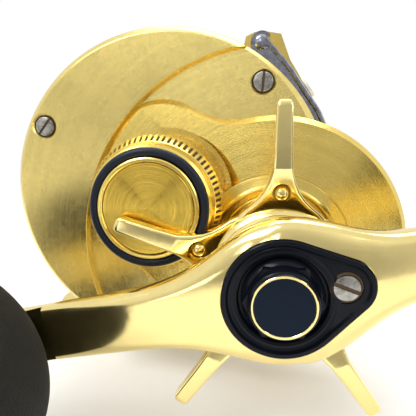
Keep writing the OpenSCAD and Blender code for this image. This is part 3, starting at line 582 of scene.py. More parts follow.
def collar():
    """Turned rings round the drive shaft's bore"""
    top = island_height(COLLAR_R)
    return turning([
        (COLLAR_R + 0.1, top - 1.2), (COLLAR_R + 0.1, top - 0.28), (COLLAR_R - 0.02, top - 0.28),
        (COLLAR_R - 0.02, top - 0.06), (COLLAR_R - 0.14, top), (9.75, top + 0.2), (9.6, top + 0.3),
        (9.3, top + 0.42), (9.05, top + 0.36), (8.95, top + 0.2), (8.95, 1.55), (8.8, 1.4), (8.2, 1.4),
        (8.1, 1.75), (7.85, 1.85), (7.75, 1.7), (7.7, 0.9), (7.4, 0.9), (7.4, 2.8), (7.2, 3.0), (BORE_R, 3.0),
        (BORE_R, -0.9), (9, -0.9), (COLLAR_R + 0.1, 0.3)], centre=DRIVE, steps=160)


def cover_plate():
    """The round plate with its flat crescent, turned recess, bevelled rim and screw holes"""
    plate = turning([
        (0, PLATE_BACK), (HOLLOW_R, PLATE_BACK), (HOLLOW_R, -COVER_DEPTH), (PLATE_R - 0.2, -COVER_DEPTH),
        (PLATE_R, -COVER_DEPTH + 0.2), (PLATE_R, -0.95), (PLATE_R - 0.12, -0.72), (PLATE_R - 0.72, -0.1),
        (PLATE_R - 0.95, 0), (0, 0)], steps=200)
    recess = turning([
        (0, recess_height(0)), (ARC_R - 0.32, -0.84), (ARC_R - 0.06, -0.45), (ARC_R, -0.12),
        (ARC_R + 0.12, 0.01), (ARC_R + 0.12, 4), (0, 4)], centre=DRIVE, steps=256)
    rim = turning([(HOLLOW_R, 0.4), (PLATE_R + 1, -2.35), (PLATE_R + 1, 0.4)], steps=200)
    outside = turning([(ARC_R - 0.02, -12), (60, -12), (60, 12), (ARC_R - 0.02, 12)], centre=DRIVE, steps=256)
    rim = cut(rim, outside)
    holes = bmesh.new()
    for angle in SCREW_ANGLES:
        at, seat = screw_seat(angle)
        lathe(holes, [
            (0, seat - 1.0), (1.68, seat - 1.0), (1.68, seat - 0.26), (1.96, seat + 0.06), (1.96, 3), (0, 3)],
            centre=at, steps=48)
    bore = turning([(0, -3), (BORE_R, -3), (BORE_R, 5), (0, 5)], centre=DRIVE, steps=64)
    return cut(plate, recess, rim, holes, bore)


class REEL_OT_gear_cover(bpy.types.Operator):
    """Builds the gear side cover: plate, housing and collar"""
    bl_idname = "reel.gear_cover"
    bl_label = "Gear side cover"

    def execute(self, context):
        node = "gear_side_cover"
        finish_piece("cover_plate", cover_plate(), "frame", "gold_satin", "Turned gold plate", node)
        finish_piece("cover_housing", gear_housing(), "frame", "gold_turned", "Turned gold housing", node)
        bm = collar()
        lathe(bm, [
            (6.0, 6.3), (5.8, 6.5), (4.03, 6.5), (4.03, 0.5), (2.7, 0.5), (2.7, -1.6), (6.0, -1.6)], steps=96)
        finish_piece("cover_collar", bm, "frame", "gold_turned", "Turned gold collar", node)
        return {"FINISHED"}


# ---------- screws ----------

HEAD_HEIGHT = 0.9
COVER_SCREW_R, COVER_SCREW_GAP = 1.48, 0.19
RETAINER_SCREW_R, RETAINER_SCREW_GAP = 1.42, 0.28
RETAINER_SCREW_AT = (6.65, 0)
RETAINER_SLOT_TURN = -35


def slotted_head(radius, slot_turn, at, top, slot, shank):
    """A crowned cheese head screw; slot is the slot's width and depth, shank its own radius and length"""
    width, depth = slot
    thin, long = shank
    bm = turning([
        (0, -HEAD_HEIGHT - long), (thin, -HEAD_HEIGHT - long), (thin, -HEAD_HEIGHT), (radius, -HEAD_HEIGHT),
        (radius, -0.16), (radius - 0.06, -0.05), (radius - 0.18, 0), (0, 0.03)], steps=48, base=top)
    groove = bmesh.new()
    bmesh.ops.create_cube(groove, size=1)
    bmesh.ops.scale(groove, verts=groove.verts, vec=(radius * 3, width, 2 * depth))
    slide(groove, (0, 0), top)
    turned_about(groove, groove.verts, math.radians(slot_turn))
    made = cut(bm, groove)
    soften(made, 0.05, 1, pick=lambda e: max(v.co.z for v in e.verts) > top - 0.01)
    slide(made, at)
    return made


def painted_recess_shade(radius, slot_turn, at, top, gap):
    """Dark pieces in a screw's slot and in the ring round its head: painted shade of these recesses"""
    bm = bmesh.new()
    bmesh.ops.create_cube(bm, size=1)
    bmesh.ops.scale(bm, verts=bm.verts, vec=(2 * radius * 0.985, 0.44, 0.1))
    bmesh.ops.bevel(bm, geom=bm.edges[:], offset=0.04, segments=1, affect="EDGES", profile=0.5, material=-1)
    slide(bm, (0, 0), top - 0.16)
    turned_about(bm, bm.verts, math.radians(slot_turn))
    slide(bm, at)
    lathe(bm, [
        (radius + 0.01, -0.6), (radius + gap, -0.6), (radius + gap, -0.4), (radius + gap / 2, -0.42),
        (radius + 0.01, -0.28)], centre=at, steps=48, base=top)
    return bm


def join(bm, other):
    """Adds a mesh to another and frees it"""
    mesh = bpy.data.meshes.new("part")
    other.to_mesh(mesh)
    other.free()
    bm.from_mesh(mesh)
    bpy.data.meshes.remove(mesh)


class REEL_OT_cover_screws(bpy.types.Operator):
    """Builds the three slotted screws of the gear side cover"""
    bl_idname = "reel.cover_screws"
    bl_label = "Cover screws"

    def execute(self, context):
        bm, painted_shade = bmesh.new(), bmesh.new()
        for angle in SCREW_ANGLES:
            at, seat = screw_seat(angle)
            turn = 52 if seat > -0.3 else 85
            join(bm, slotted_head(COVER_SCREW_R, turn, at, seat, slot=(0.36, 0.45), shank=(1.0, 9)))
            # dark pieces in each slot and in the gap round each head are painted shade
            join(painted_shade, painted_recess_shade(COVER_SCREW_R, turn, at, seat, COVER_SCREW_GAP))
        finish_piece("cover_screw_painted_shade", painted_shade, "frame", "steel", "Painted recess shade", "cover_screws")
        finish_piece("cover_screw_heads", bm, "frame", "steel", "Stained steel", "cover_screws")
        return {"FINISHED"}


# ---------- tension knob ----------

KNURLS = 72


class REEL_OT_tension_knob(bpy.types.Operator):
    """Builds the knurled tension knob and its rubber ring"""
    bl_idname = "reel.tension_knob"
    bl_label = "Tension knob"

    def execute(self, context):
        top, node = TENSION_FACE, "tension_knob"
        disc = turning([(0, -2), (5.78, -2), (5.78, -0.12), (5.7, -0.05), (5.5, -0.04), (0, -0.42)],
                       steps=192, base=top)
        finish_piece("tension_knob_face", disc, "tension_knob", "gold_turned", "Turned gold disc", node)
        low = 0.9 - top
        knob = turning([
            (3.4, low), (8.5, low), (8.95, low + 0.5), (8.95, -4.9), (9.05, -4.6), (8.3, -2.6), (8.22, -2.5),
            (8.2, -2.3), (8.12, -2.0), (7.95, -1.55), (7.92, -1.35), (7.6, -1.1), (6.5, -1.1), (6.5, -0.35),
            (6.42, -0.12), (6.25, 0), (5.98, 0), (5.86, -0.1), (5.82, -0.24), (5.82, -2.1), (3.4, -2.1)],
            steps=192, base=top)
        merge(knob, MERGED)
        slots = bmesh.new()
        lean = Matrix.Translation((8.86, 0, top - 3.8)) @ Matrix.Rotation(math.radians(-20.5), 4, "Y")
        for i in range(KNURLS):
            made = bmesh.ops.create_cube(slots, size=1)["verts"]
            bmesh.ops.scale(slots, verts=made, vec=(0.8, 0.36, 2.5))
            turn = Matrix.Rotation(math.tau * i / KNURLS, 4, "Z")
            bmesh.ops.transform(slots, verts=made, matrix=turn @ lean)
        knob = cut(knob, slots)
        finish_piece("tension_knob_body", knob, "tension_knob", "gold_turned", "Turned gold knob", node)
        # dark ring seen through the knurl cuts: painted shade at the bottom of the grooves
        floor = turning([(7.9, -2.7), (8.12, -2.7), (8.83, -4.6), (8.83, -4.95), (7.9, -4.95)],
                        steps=192, base=top)
        finish_piece("tension_knob_grooves", floor, "tension_knob", "gold_turned", "Painted recess shade", node)
        ring = turning([
            (7.02 + 0.62 * math.cos(a) * (1 if math.cos(a) > 0 else 0.85), 0.6 * math.sin(a))
            for a in (math.tau * i / 14 for i in range(14))], base=top - 0.72)
        finish_piece("tension_o_ring", ring, "tension_knob", "dark_rubber", "Ring rubber", "tension_ring")
        return {"FINISHED"}


# ---------- star ----------

ARMS = 5
DIMPLE = (10.3, 0)


class REEL_OT_star(bpy.types.Operator):
    """Builds the five-armed star: a turned hub and kinked, dimpled arms"""
    bl_idname = "reel.star"
    bl_label = "Star drag"

    def execute(self, context):
        reach = context.scene.reel_sizes.star_reach / MM
        top = STAR_TOP
        bm = bmesh.new()
        stations = [
            (6.8, 5.6, -1.9, 1.0), (7.8, 4.7, -1.62, 1.0), (8.6, 3.7, -1.4, 1.05), (9.4, 2.9, -1.15, 1.1),
            (10.4, 2.15, -0.85, 1.15), (11.6, 1.6, -0.5, 1.15), (12.9, 1.22, -0.16, 1.1), (13.2, 1.18, -0.06, 1.1),
            (13.5, 1.15, -0.02, 1.1), (16.0, 1.02, 0, 1.05), (19.0, 0.97, 0, 1.0), (reach - 0.75, 0.95, 0, 1.0),
            (reach - 0.4, 0.88, -0.05, 0.95), (reach - 0.15, 0.72, -0.18, 0.8),
            (reach - 0.03, 0.5, -0.36, 0.6), (reach, 0.35, -0.5, 0.4)]

        def section(x, half, high, thick):
            def point(angle):
                across, up = block(angle, half, thick, 0.3)
                return Vector((x, across, top + high - thick + up))
            return point

        loft(bm, [section(*s) for s in stations], segments=32)
        dimple = turning([(0, -1.7), (0.95, -1.7), (1.0, -1.15), (1.24, -0.6), (1.24, 1), (0, 1)],
                         centre=DIMPLE, steps=32, base=top)
        arm = cut(bm, dimple)
        lathe(arm, [(0.93, -1.75), (0.9, -1.4), (0.72, -1.16), (0.42, -1.0), (0, -0.94), (0, -1.75)],
              centre=DIMPLE, steps=24, base=top)
        merge(arm, 1e-5)
        turned_about(arm, arm.verts, math.radians(90))
        whole = arm.verts[:] + arm.edges[:] + arm.faces[:]
        for i in range(1, ARMS):
            copy = bmesh.ops.duplicate(arm, geom=whole)["geom"]
            turned_about(arm, [g for g in copy if isinstance(g, bmesh.types.BMVert)], math.tau * i / ARMS)
        low = 4.1 - top
        lathe(arm, [
            (2.06, -0.3), (5.2, -0.3), (7.0, -0.3), (7.5, -0.42), (7.75, -0.7), (7.8, -1.05), (8.15, -1.3),
            (8.5, -1.7), (8.6, -2.1), (8.45, -2.6), (8.0, -3.0), (7.72, -3.25), (7.6, -3.7), (7.6, low),
            (7.3, low - 0.25), (5.42, low - 0.25), (5.42, -1.8), (2.06, -1.8)], base=top)
        slide(arm, DRIVE)
        finish_piece("star_wheel", arm, "star", "gold_polished", "Polished gold star", "star_drag")
        return {"FINISHED"}


# ---------- handle ----------

def teardrop(bm, grow, z):
    """The retainer's outline, lobe toward +x"""
    r, lobe, at = 6.6 + grow, 3.1 + grow, 6.6
    k = math.degrees(math.acos((r - lobe) / at))
    face = outline(bm, [((0, 0), r, k, 360 - 2 * k, 64), ((at, 0), lobe, -k, 2 * k, 28)])
    bmesh.ops.translate(bm, verts=face.verts, vec=(0, 0, z))
    return face


# Half of the arm's section from its edge over the crowned front, in shares of half its width and thickness
ARM_EDGE = (
    (1.0, -0.05), (0.997, 0.2), (0.985, 0.38), (0.955, 0.53), (0.915, 0.64), (0.86, 0.74), (0.79, 0.825),
    (0.735, 0.872), (0.69, 0.9), (0.62, 0.925), (0.45, 0.962), (0.23, 0.99))
ARM_BACK = ((0.99, -0.4), (0.94, -0.72), (0.84, -0.9), (0.65, -0.985), (0.3, -1.0))
ARM_SECTION = (
    ARM_EDGE + ((0.0, 1.0),) + tuple((-a, u) for a, u in reversed(ARM_EDGE))
    + tuple((-a, u) for a, u in ARM_BACK) + ((0.0, -1.0),) + tuple(reversed(ARM_BACK)))


class REEL_OT_handle(bpy.types.Operator):
    """Builds the swept double handle arm"""
    bl_idname = "reel.handle"
    bl_label = "Handle arm"

    def execute(self, context):
        top = HUB_TOP
        bm = bmesh.new()

        def station(x):
            """Half width, top and thickness of the arm at a distance from the shaft"""
            d = abs(x)
            t = min(1.0, d / CRANK)
            ease = t * t * (3 - 2 * t)
            high = top - 4.4 * ease
            lobe = math.exp(-((x - 5.5) / 5.0) ** 2) if x > 0 else 0.0
            half = 3.55 + 4.6 * math.exp(-(d / 8.6) ** 2) + 0.6 * lobe + 0.75 * max(0, (t - 0.72) / 0.28) ** 2
            thick = 4.6 - 1.3 * min(1, d / 26)
            return half, high, thick

        count = len(ARM_SECTION)
        sections = []
        for i in range(-42, 43):
            x = i * (CRANK + 3.6) / 42
            half, high, thick = station(x)
            over = max(0.0, abs(x) - CRANK) / 3.9
            half *= math.sqrt(max(0.04, 1 - over * over))

            def point(angle, x=x, half=half, high=high, thick=thick):
                across, up = ARM_SECTION[round(angle / math.tau * count) % count]
                return Vector((x, across * half, high - thick / 2 + up * thick / 2))
            sections.append(point)
        loft(bm, sections, segments=count)
        pocket = bmesh.new()
        lift(pocket, [teardrop(pocket, 0.1, top - 1.7)], 5)
        wide = bmesh.new()
        lift(wide, [teardrop(wide, 0.45, top - 0.3)], 4)
        bore = turning([(0, -8), (2.06, -8), (2.06, 2), (0, 2)], steps=48, base=top)
        seats = bmesh.new()
        for x in (-CRANK, CRANK):
            for radius, low, high, steps in ((13.5, -4.6, 3, 96), (1.65, -12, -4, 32)):
                lathe(seats, [(0, low), (radius, low), (radius, high), (0, high)],
                      centre=(x, 0), steps=steps, base=top)
        bm = cut(bm, pocket, wide, bore, seats)
        onto_handle(bm)
        finish_piece("handle_arm_swept", bm, "crank", "gold_polished", "Polished gold arm", "handle_arm")
        return {"FINISHED"}


class REEL_OT_retainer(bpy.types.Operator):
    """Builds the black retainer, its screw and the nut with its dark cap"""
    bl_idname = "reel.retainer"
    bl_label = "Retainer and nut cap"

    def execute(self, context):
        top = HUB_TOP
        bm = bmesh.new()
        [cap] = lift(bm, [teardrop(bm, 0.0, top - 1.7)], 1.5)
        for thickness, depth in ((0.12, 0.12), (0.4, 0.0), (0.25, -0.3), (0.5, 0.0)):
            bmesh.ops.inset_region(bm, faces=[cap], thickness=thickness, depth=depth)
        well = turning([(0, -3), (4.75, -3), (4.75, -0.95), (5.15, -0.55), (5.3, 1), (0, 1)],
                       steps=96, base=top)
        eye = turning([(0, -1.2), (1.72, -1.2), (1.85, 1), (0, 1)],
                      centre=RETAINER_SCREW_AT, steps=48, base=top)
        bm = cut(bm, well, eye)
        lathe(bm, [
            (4.8, -1.6), (4.8, -0.7), (4.95, -0.52), (5.35, -0.42), (5.7, -0.3), (6.05, -0.42),
            (6.1, -1.6)], steps=96, base=top)
        place = RETAINER_SCREW_R, RETAINER_SLOT_TURN, RETAINER_SCREW_AT, top - 0.1
        screw = slotted_head(*place, slot=(0.42, 0.4), shank=(0.7, 2))
        # dark pieces in the screw's slot and in the gap round its head are painted shade
        painted_shade = painted_recess_shade(*place, RETAINER_SCREW_GAP)
        for made in (bm, screw, painted_shade):
            onto_handle(made)
        finish_piece("retainer_cover", bm, "crank", "black_plastic", "Gloss black", "retainer_plate")
        finish_piece("retainer_screw_head", screw, "crank", "steel", "Stained steel", "retainer_screw")
        finish_piece("retainer_screw_painted_shade", painted_shade, "crank", "steel", "Painted recess shade", "retainer_screw")
        high = (FACE_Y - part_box("nut_cap")[0].y) / MM
        body = turning([
            (0, top - 1.1), (4.4, top - 1.1), (4.5, top - 0.8), (4.3, top - 0.45), (3.95, top - 0.2),
            (3.9, top + 0.3), (3.72, high - 0.5), (3.5, high - 0.3), (3.42, high - 0.1), (3.42, high - 0.35),
            (0, high - 0.35)], centre=DRIVE)
        ring = turning([
            (3.42, -0.5), (3.42, -0.06), (3.36, 0), (3.2, 0), (3.14, -0.07), (3.14, -0.5)],
            centre=DRIVE, base=high)
        disc = turning([(0, -0.5), (3.16, -0.5), (3.16, -0.1), (0, -0.1)], centre=DRIVE, base=high)
        finish_piece("nut_cap_body", body, "crank", "black_plastic", "Gloss black", "nut_cap")
        finish_piece("nut_cap_ring", ring, "crank", "gold_polished", "Polished gold arm", "nut_cap")
        finish_piece("nut_cap_disc", disc, "crank", "dark_anodised", "Navy cap", "nut_cap")
        return {"FINISHED"}


class REEL_OT_knobs(bpy.types.Operator):
    """Builds the two foam handle knobs"""
    bl_idname = "reel.knobs"
    bl_label = "Handle knobs"

    def execute(self, context):
        wide = context.scene.reel_sizes.knob_radius / MM
        for name, at in (("front_knob", FRONT_KNOB), ("rear_knob", REAR_KNOB)):
            high, low = ((FACE_Y - corner.y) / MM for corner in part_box(name))
            outer = []
            for i in range(41):
                t = i / 40
                shape = 1 - 0.3 * (1 - t / 0.45) ** 3.5 if t < 0.45 else 1 - 0.4 * ((t - 0.45) / 0.55) ** 4
                outer.append((wide * shape, low + (high - low) * t))
            bm = turning([(3.23, high - 1.4), (3.23, low)] + outer + [(4.43, high), (4.43, high - 1.4)],
                         centre=at, steps=96)
            finish_piece(f"{name}_foam", bm, name, "knob_foam", "Knob foam", name)
        return {"FINISHED"}


# ---------- frame, far side and line guide ----------

class REEL_OT_frame(bpy.types.Operator):
    """Rounds the edges of the frame, the palm side cover, the foot, the thumb bar and the dial"""
    bl_idname = "reel.frame"
    bl_label = "Frame and far side"

    def execute(self, context):
        edge = context.scene.reel_sizes.edge_round / MM
        for piece, node, body, slot, material, offset in (
                ("frame_machined", "frame", "frame", "gold_satin", "Satin gold", edge),
                ("foot_machined", "reel_foot", "frame", "gold_satin", "Satin gold", edge),
                ("palm_cover_turned", "palm_side_cover", "frame", "gold_satin", "Turned gold far side", edge),
                ("thumb_bar_milled", "thumb_bar", "thumb_bar", "gold_satin", "Satin gold", edge * 1.5),
                ("brake_dial_knurled", "brake_dial", "brake_dial", "gold_turned", "Turned gold far side", edge)):
            finish_piece(piece, softened(node, offset), body, slot, material, node)
        return {"FINISHED"}


# Front edge of the guide's cheeks in the side frame, from the knuckle down
GUIDE_EDGE = (
    (15.2, 26.05), (15.83, 25.27), (16.75, 24.23), (17.69, 23.17), (18.65, 22.13), (19.56, 21.05),
    (20.52, 19.76), (21.45, 18.4), (22.4, 17.07), (23.36, 15.72), (24.15, 14.65), (24.9, 13.57), (25.5, 12.6),
    (26.35, 10.7), (27.15, 8.3), (27.85, 6.0), (28.25, 4.3))
KNUCKLE = (14.21, 25.11)
CHEEK_FACE = 4.0


class REEL_OT_line_guide(bpy.types.Operator):
    """Builds the line guide's head and its two chromed cheeks with their recessed faces"""
    bl_idname = "reel.line_guide"
    bl_label = "Line guide"

    def execute(self, context):
        finish_piece("line_guide_head", softened("line_guide", 0.22, 3), "line_guide", "gold_turned",
                     "Polished gold guide", "line_guide")
        middle = (FACE_Y - (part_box("guide_cheeks")[0].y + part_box("guide_cheeks")[1].y) / 2) / MM
        cheeks = softened("guide_cheeks", 0.0)
        # each cheek's face is set back behind its rounded edge bar and knuckle
        for v in cheeks.verts:
            side = math.copysign(1, v.co.z - middle)
            v.co.z = middle + side * min(abs(v.co.z - middle), CHEEK_FACE - 0.36)
        path = [Vector(p) for p in GUIDE_EDGE]

        def swept(bm, inset, half, high, z, corner):
            """Lofts a bar along the front edge, its middle set in from the edge"""
            sections = []
            for i, point in enumerate(path):
                along = (path[min(i + 1, len(path) - 1)] - path[max(i - 1, 0)]).normalized()
                inward = Vector((along.y, -along.x))
                inward *= -math.copysign(1, inward.dot(point))

                def section(angle, mid=point + inward * inset, inward=inward):
                    across, up = block(angle, half, high, corner)
                    return Vector((*(mid + inward * across), z + up))
                sections.append(section)
            loft(bm, sections, segments=16)

        beyond = bmesh.new()
        swept(beyond, -1.98, 2.0, 14.0, middle, 0.2)
        cheeks = cut(cheeks, beyond)
        for side in (-1, 1):
            swept(cheeks, 0.5, 0.5, 0.6, middle + side * (CHEEK_FACE - 0.62), 0.55)
            face = middle + side * CHEEK_FACE
            lathe(cheeks, [
                (0, face - side * 1.2), (1.4, face - side * 1.2), (1.5, face - side * 0.95),
                (1.5, face - side * 0.6), (1.4, face - side * 0.32), (1.2, face - side * 0.14),
                (0.8, face - side * 0.03), (0, face)],
                centre=KNUCKLE, steps=40)
        finish_piece("guide_cheeks_pressed", cheeks, "line_guide", "chrome", "Chrome", "guide_cheeks")
        return {"FINISHED"}


# ---------- finishes of the kept nodes ----------

KEPT = {
    "Turned gold spool": ["spool"],
    "Brushed steel": [
        "palm_screws", "foot_screws", "palm_bearing", "tension_side_bearing", "pinion_bearing",
        "drive_shaft_bearing", "roller_clutch", "yoke_posts", "yoke_springs", "worm_guard_tube", "guide_rod",
        "brake_drum", "spool_shaft", "spool_pin", "yoke", "drive_shaft", "steel_washers", "pressure_plate",
        "ratchet_wheel", "clutch_sleeve", "spring_washers", "drag_nut", "front_knob_bearings",
        "rear_knob_bearings", "release_plate", "anti_reverse_dog", "worm_shaft", "knob_posts"],
    "Machined brass": ["pinion_gear", "drive_gear", "wind_pawl"],
    "Gloss black": ["handle_nut", "brake_rotor"],
    "Pale moulding": ["worm_bushings", "brake_blocks", "wind_drive_wheel", "worm_wheel", "line_ring"],
    "Woven fibre": ["fibre_washers"],
}


class REEL_OT_finishes(bpy.types.Operator):
    """Makes the finishes and lays them on the pieces that keep their CAD shape"""
    bl_idname = "reel.finishes"
    bl_label = "Finishes"

    def execute(self, context):
        c = context.scene.reel_colours
        gold, deep, bright = tuple(c.satin_gold), tuple(c.turned_gold), tuple(c.polished_gold)
        gear_axis = joint("crank_turn")["pos_m"]
        spool_axis = joint("spool_spin")["pos_m"]
        satin_metal("Satin gold", gold)
        fine = {"pitch": 24.0, "swell": 0.1}
        turned_metal("Turned gold plate", gold, gear_axis, rough=0.26, groove=0.0014, **fine)
        turned_metal("Turned gold housing", deep, gear_axis, rough=0.26, groove=0.0016)
        turned_metal("Turned gold collar", deep, gear_axis, rough=0.2, groove=0.0012)
        turned_metal("Turned gold knob", deep, spool_axis, rough=0.2, groove=0.0012)
        # the knob's face gets a darker, more saturated copy of the turned gold: painted shade of the dim room it
        # mirrors
        turned_metal("Turned gold disc", tuple(c.painted_shade_gold), spool_axis, rough=0.12, groove=0.0011, **fine)
        turned_metal("Turned gold spool", gold, spool_axis, rough=0.24, groove=0.001)
        turned_metal("Turned gold far side", gold, spool_axis, rough=0.32, groove=0.0009)
        polished_metal("Polished gold star", bright, rough=0.14)
        polished_metal("Polished gold arm", bright, rough=0.12)
        polished_metal("Polished gold guide", deep, rough=0.2)
        brushed_steel("Chrome", tuple(c.chrome), rough=0.13, stain=0.6)
        brushed_steel("Stained steel", tint(c.steel, 0.8), rough=0.3, stain=0.75)
        brushed_steel("Brushed steel", tuple(c.steel), rough=0.3, stain=0.25)
        turned_metal("Machined brass", (0.72, 0.5, 0.2), gear_axis, rough=0.28)
        plastic("Gloss black", tuple(c.black), 0.2, 0.0012, scale=3.0, shine=0.14)
        # dark brown of painted shade for screw slots, gaps round screw heads and knurl grooves
        plastic("Painted recess shade", (0.075, 0.045, 0.018), 0.6, 0.01, shine=0.3)
        plastic("Pale moulding", (0.78, 0.76, 0.7), 0.45, 0.006)
        plastic("Ring rubber", tuple(c.ring_rubber), 0.36, 0.004, scale=5.0, shine=0.22)
        foam_rubber("Knob foam", tuple(c.knob))
        woven_fibre("Woven fibre", (0.03, 0.03, 0.03))
        turned_metal("Navy cap", tuple(c.cap), gear_axis, rough=0.42, groove=0.0006, patch=0.1)
        for material, names in KEPT.items():
            for name in names:
                for slot in frame["nodes"][name].material_slots:
                    slot.material = bpy.data.materials[material]
        return {"FINISHED"}


# ---------- stage ----------

CAMERA_AT = (0.01268, -0.08691, 0.03824)
CAMERA_TOWARD = Vector((-0.0980, 0.9771, -0.1889))
LIGHTS_AIM = Vector((0.005, -0.02, 0.025))
# Where each light is, its size, and its power as a share of one of the stage's powers
LIGHTS = {
    "key": ((-0.28, -0.34, 0.52), (0.34, 0.26), "key_power", 1.0),
    "fill": ((0.5, -0.3, 0.3), (0.3, 0.4), "key_power", 0.35),
    "top": ((0.05, 0.15, 0.6), (0.5, 0.3), "key_power", 0.8),
    "strip left": ((-0.19, -0.457, 0.205), (0.05, 0.08), "strip_power", 1.0),
    "low left": ((-0.2, -0.44, -0.045), (0.1, 0.06), "low_power", 1.0),
    "strip middle": ((-0.055, -0.48, 0.215), (0.05, 0.08), "strip_power", 1.0),
}
# Distances over which the floor fades, in millimetres, and the directions between which the room changes
FLOOR_FADE = (90.0, 300.0)
ROOM_FRONT = (-0.95, -0.66)
ROOM_BACK = (0.0, 0.3)
TABLE_EDGE = (-0.14, 0.02)


class REEL_OT_stage(bpy.types.Operator):
    """Sets the floor, the soft lights and the camera"""
    bl_idname = "reel.stage"
    bl_label = "Floor, lights and camera"

    def execute(self, context):
        stage = context.scene.reel_stage
        scene = context.scene
        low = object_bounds()[0].z
        mesh = bpy.data.meshes.new("floor")
        bm = bmesh.new()
        bmesh.ops.create_grid(bm, x_segments=1, y_segments=1, size=2)
        slide(bm, (0, 2 - stage.floor_front), low)
        bm.to_mesh(mesh)
        bm.free()
        floor = bpy.data.objects.new("floor", mesh)
        scene.collection.objects.link(floor)
        paper = Finish("Floor paper", Roughness=0.9, Specular_IOR_Level=0.15)
        at = paper.place()
        grain = paper.noise(at, 0.8, 3.0)
        shade = tuple(stage.floor_colour)
        paper.set("Base Color", paper.ramp(grain, [(0.3, tint(shade, 0.99)), (0.7, shade)]))
        # the paper fades into the white backdrop away from the reel
        x = paper.node("ShaderNodeSeparateXYZ", {}, {"Vector": at}, out="X")
        y = x.other("Y")
        away = paper.maths("SQRT", x * x + y * y)
        glow = paper.node("ShaderNodeEmission", {}, {"Color": (1, 1, 1, 1), "Strength": 1.0})
        fade = paper.spread(away, *FLOOR_FADE, stage.floor_glow, 1.0)
        faded = paper.node("ShaderNodeMixShader", {}, {
            "Fac": fade, 1: Wire(paper, paper.shader.outputs["BSDF"]), 2: glow})
        paper.feed(paper.nodes.nodes["Material Output"].inputs["Surface"], faded)
        mesh.materials.append(paper.material)
        floor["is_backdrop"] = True

        for name, (at, size, power, share) in LIGHTS.items():
            data = bpy.data.lights.new(name, "AREA")
            data.shape = "RECTANGLE"
            data.size, data.size_y = size
            data.energy = getattr(stage, power) * share
            light = bpy.data.objects.new(name, data)
            scene.collection.objects.link(light)
            light.location = at
            light.rotation_euler = (LIGHTS_AIM - Vector(at)).to_track_quat("-Z", "Y").to_euler()

        world = bpy.data.worlds.new("Studio")
        scene.world = world
        world.use_nodes = True
        room = Tree(world.node_tree)
        x = room.node("ShaderNodeSeparateXYZ", {}, {
            "Vector": room.node("ShaderNodeTexCoord", out="Generated")}, out="X")
        # the room is dim straight in front and dimmer below the table's edge
        depth = room.spread(x.other("Y"), *ROOM_FRONT, 0.0, 1.0)
        height = room.spread(x.other("Z"), *TABLE_EDGE, stage.low_level, stage.room_level)
        seen = room.node("ShaderNodeLightPath", out="Is Camera Ray")
        backdrop = room.spread(x.other("Y"), *ROOM_BACK, 0.0, 1.0)
        mirrored = (seen.other("Is Glossy Ray") + seen.other("Is Transmission Ray")) * backdrop
        plain = room.maths("MINIMUM", seen + mirrored + backdrop, 1.0)
        level = height + (1.0 - height) * depth
        room.feed(world.node_tree.nodes["Background"].inputs["Color"], (1, 1, 1, 1))
        room.feed(world.node_tree.nodes["Background"].inputs["Strength"], level + (1.0 - level) * plain)

        data = bpy.data.cameras.new("Camera")
        data.lens = stage.lens
        data.sensor_width = 36
        data.clip_start = 0.005
        camera = bpy.data.objects.new("Camera", data)
        scene.collection.objects.link(camera)
        camera.location = CAMERA_AT
        camera.rotation_euler = CAMERA_TOWARD.to_track_quat("-Z", "Y").to_euler()
        scene.camera = camera
        scene.view_settings.view_transform = "Standard"
        return {"FINISHED"}


# ---------- add-on ----------

def colour(name, description, default):
    return FloatVectorProperty(
        name=name, description=description, default=default, subtype="COLOR", size=3, min=0, max=1)


def number(name, description, default, unit="NONE", **limits):
    return FloatProperty(name=name, description=description, default=default, unit=unit, **limits)


def length(name, description, default):
    return number(name, description, default, "LENGTH", subtype="DISTANCE", min=0, precision=4)


class ReelSizes(bpy.types.PropertyGroup):
    """Sizes of the visible pieces"""
    star_reach: length("Star reach", "Distance from the drive shaft to the star's arm tips", 0.021)
    edge_round: length("Edge round", "Rounding of the frame's edges", 0.00016)
    knob_radius: length("Knob radius", "Radius of the handle knobs", KNOB_RADIUS)


class ReelColours(bpy.types.PropertyGroup):
    """Colours of the finishes"""
    satin_gold: colour("Satin gold", "Anodised plate and frame", (0.78, 0.62, 0.21))
    turned_gold: colour("Turned gold", "Anodised turned faces", (0.80, 0.60, 0.16))
    # darker, more saturated copy of the turned gold: painted shade of the dim room the knob's face mirrors
    painted_shade_gold: colour("Gold with painted shade", "Face of the tension knob", (0.72, 0.49, 0.085))
    polished_gold: colour("Polished gold", "Star and handle arm", (0.86, 0.70, 0.29))
    chrome: colour("Chrome", "Line guide cheeks", (0.33, 0.34, 0.385))
    steel: colour("Steel", "Screws and shafts", (0.52, 0.50, 0.45))
    black: colour("Black", "Retainer plate", (0.004, 0.005, 0.008))
    cap: colour("Cap", "Nut cap", (0.013, 0.019, 0.03))
    ring_rubber: colour("Ring rubber", "Rubber ring of the tension knob", (0.006, 0.009, 0.017))
    knob: colour("Knob", "Foam handle knobs", (0.007, 0.0075, 0.006))


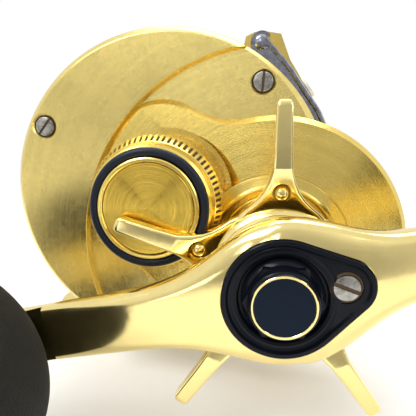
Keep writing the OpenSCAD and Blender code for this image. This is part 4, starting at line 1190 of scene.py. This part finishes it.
class ReelStage(bpy.types.PropertyGroup):
    """Camera, floor and light"""
    lens: number("Lens", "Focal length on a 36 mm sensor", 37.21, "CAMERA", min=10)
    floor_colour: colour("Floor", "Colour of the floor", (0.93, 0.93, 0.92))
    key_power: number("Key light", "Power of the main soft light in watts", 2.4, min=0)
    strip_power: number("Strip lights", "Power of each small front light in watts", 0.05, min=0)
    low_power: number("Low light", "Power of the low light on the left in watts", 0.045, min=0)
    room_level: number("Room level", "Brightness of the room behind the viewer", 0.58, min=0)
    low_level: number("Low level", "Brightness below the table's front edge", 0.35, min=0)
    floor_glow: number("Floor glow", "How white the floor is under the reel", 0.2, min=0, max=1)
    floor_front: number("Floor front", "Distance to the table's front edge", 0.13, "LENGTH")


OPERATORS = (
    REEL_OT_finishes, REEL_OT_gear_cover, REEL_OT_cover_screws, REEL_OT_tension_knob, REEL_OT_star,
    REEL_OT_handle, REEL_OT_retainer, REEL_OT_knobs, REEL_OT_frame, REEL_OT_line_guide, REEL_OT_stage,
)


class REEL_PT_panel(bpy.types.Panel):
    """Lists the reel's operators"""
    bl_label = "Reel"
    bl_idname = "REEL_PT_panel"
    bl_space_type = "VIEW_3D"
    bl_region_type = "UI"
    bl_category = "Reel"

    def draw(self, context):
        for group in (context.scene.reel_sizes, context.scene.reel_colours, context.scene.reel_stage):
            for name in group.__annotations__:
                self.layout.prop(group, name)
        for operator in OPERATORS:
            self.layout.operator(operator.bl_idname)


GROUPS = {"reel_sizes": ReelSizes, "reel_colours": ReelColours, "reel_stage": ReelStage}


def register():
    for cls in (*GROUPS.values(), *OPERATORS, REEL_PT_panel):
        bpy.utils.register_class(cls)
    for name, cls in GROUPS.items():
        setattr(bpy.types.Scene, name, PointerProperty(type=cls))


def unregister():
    for name in GROUPS:
        delattr(bpy.types.Scene, name)
    for cls in reversed((*GROUPS.values(), *OPERATORS, REEL_PT_panel)):
        bpy.utils.unregister_class(cls)


def main():
    register()
    for operator in OPERATORS:
        group, name = operator.bl_idname.split(".")
        getattr(getattr(bpy.ops, group), name)()


if __name__ == "__main__":
    main()
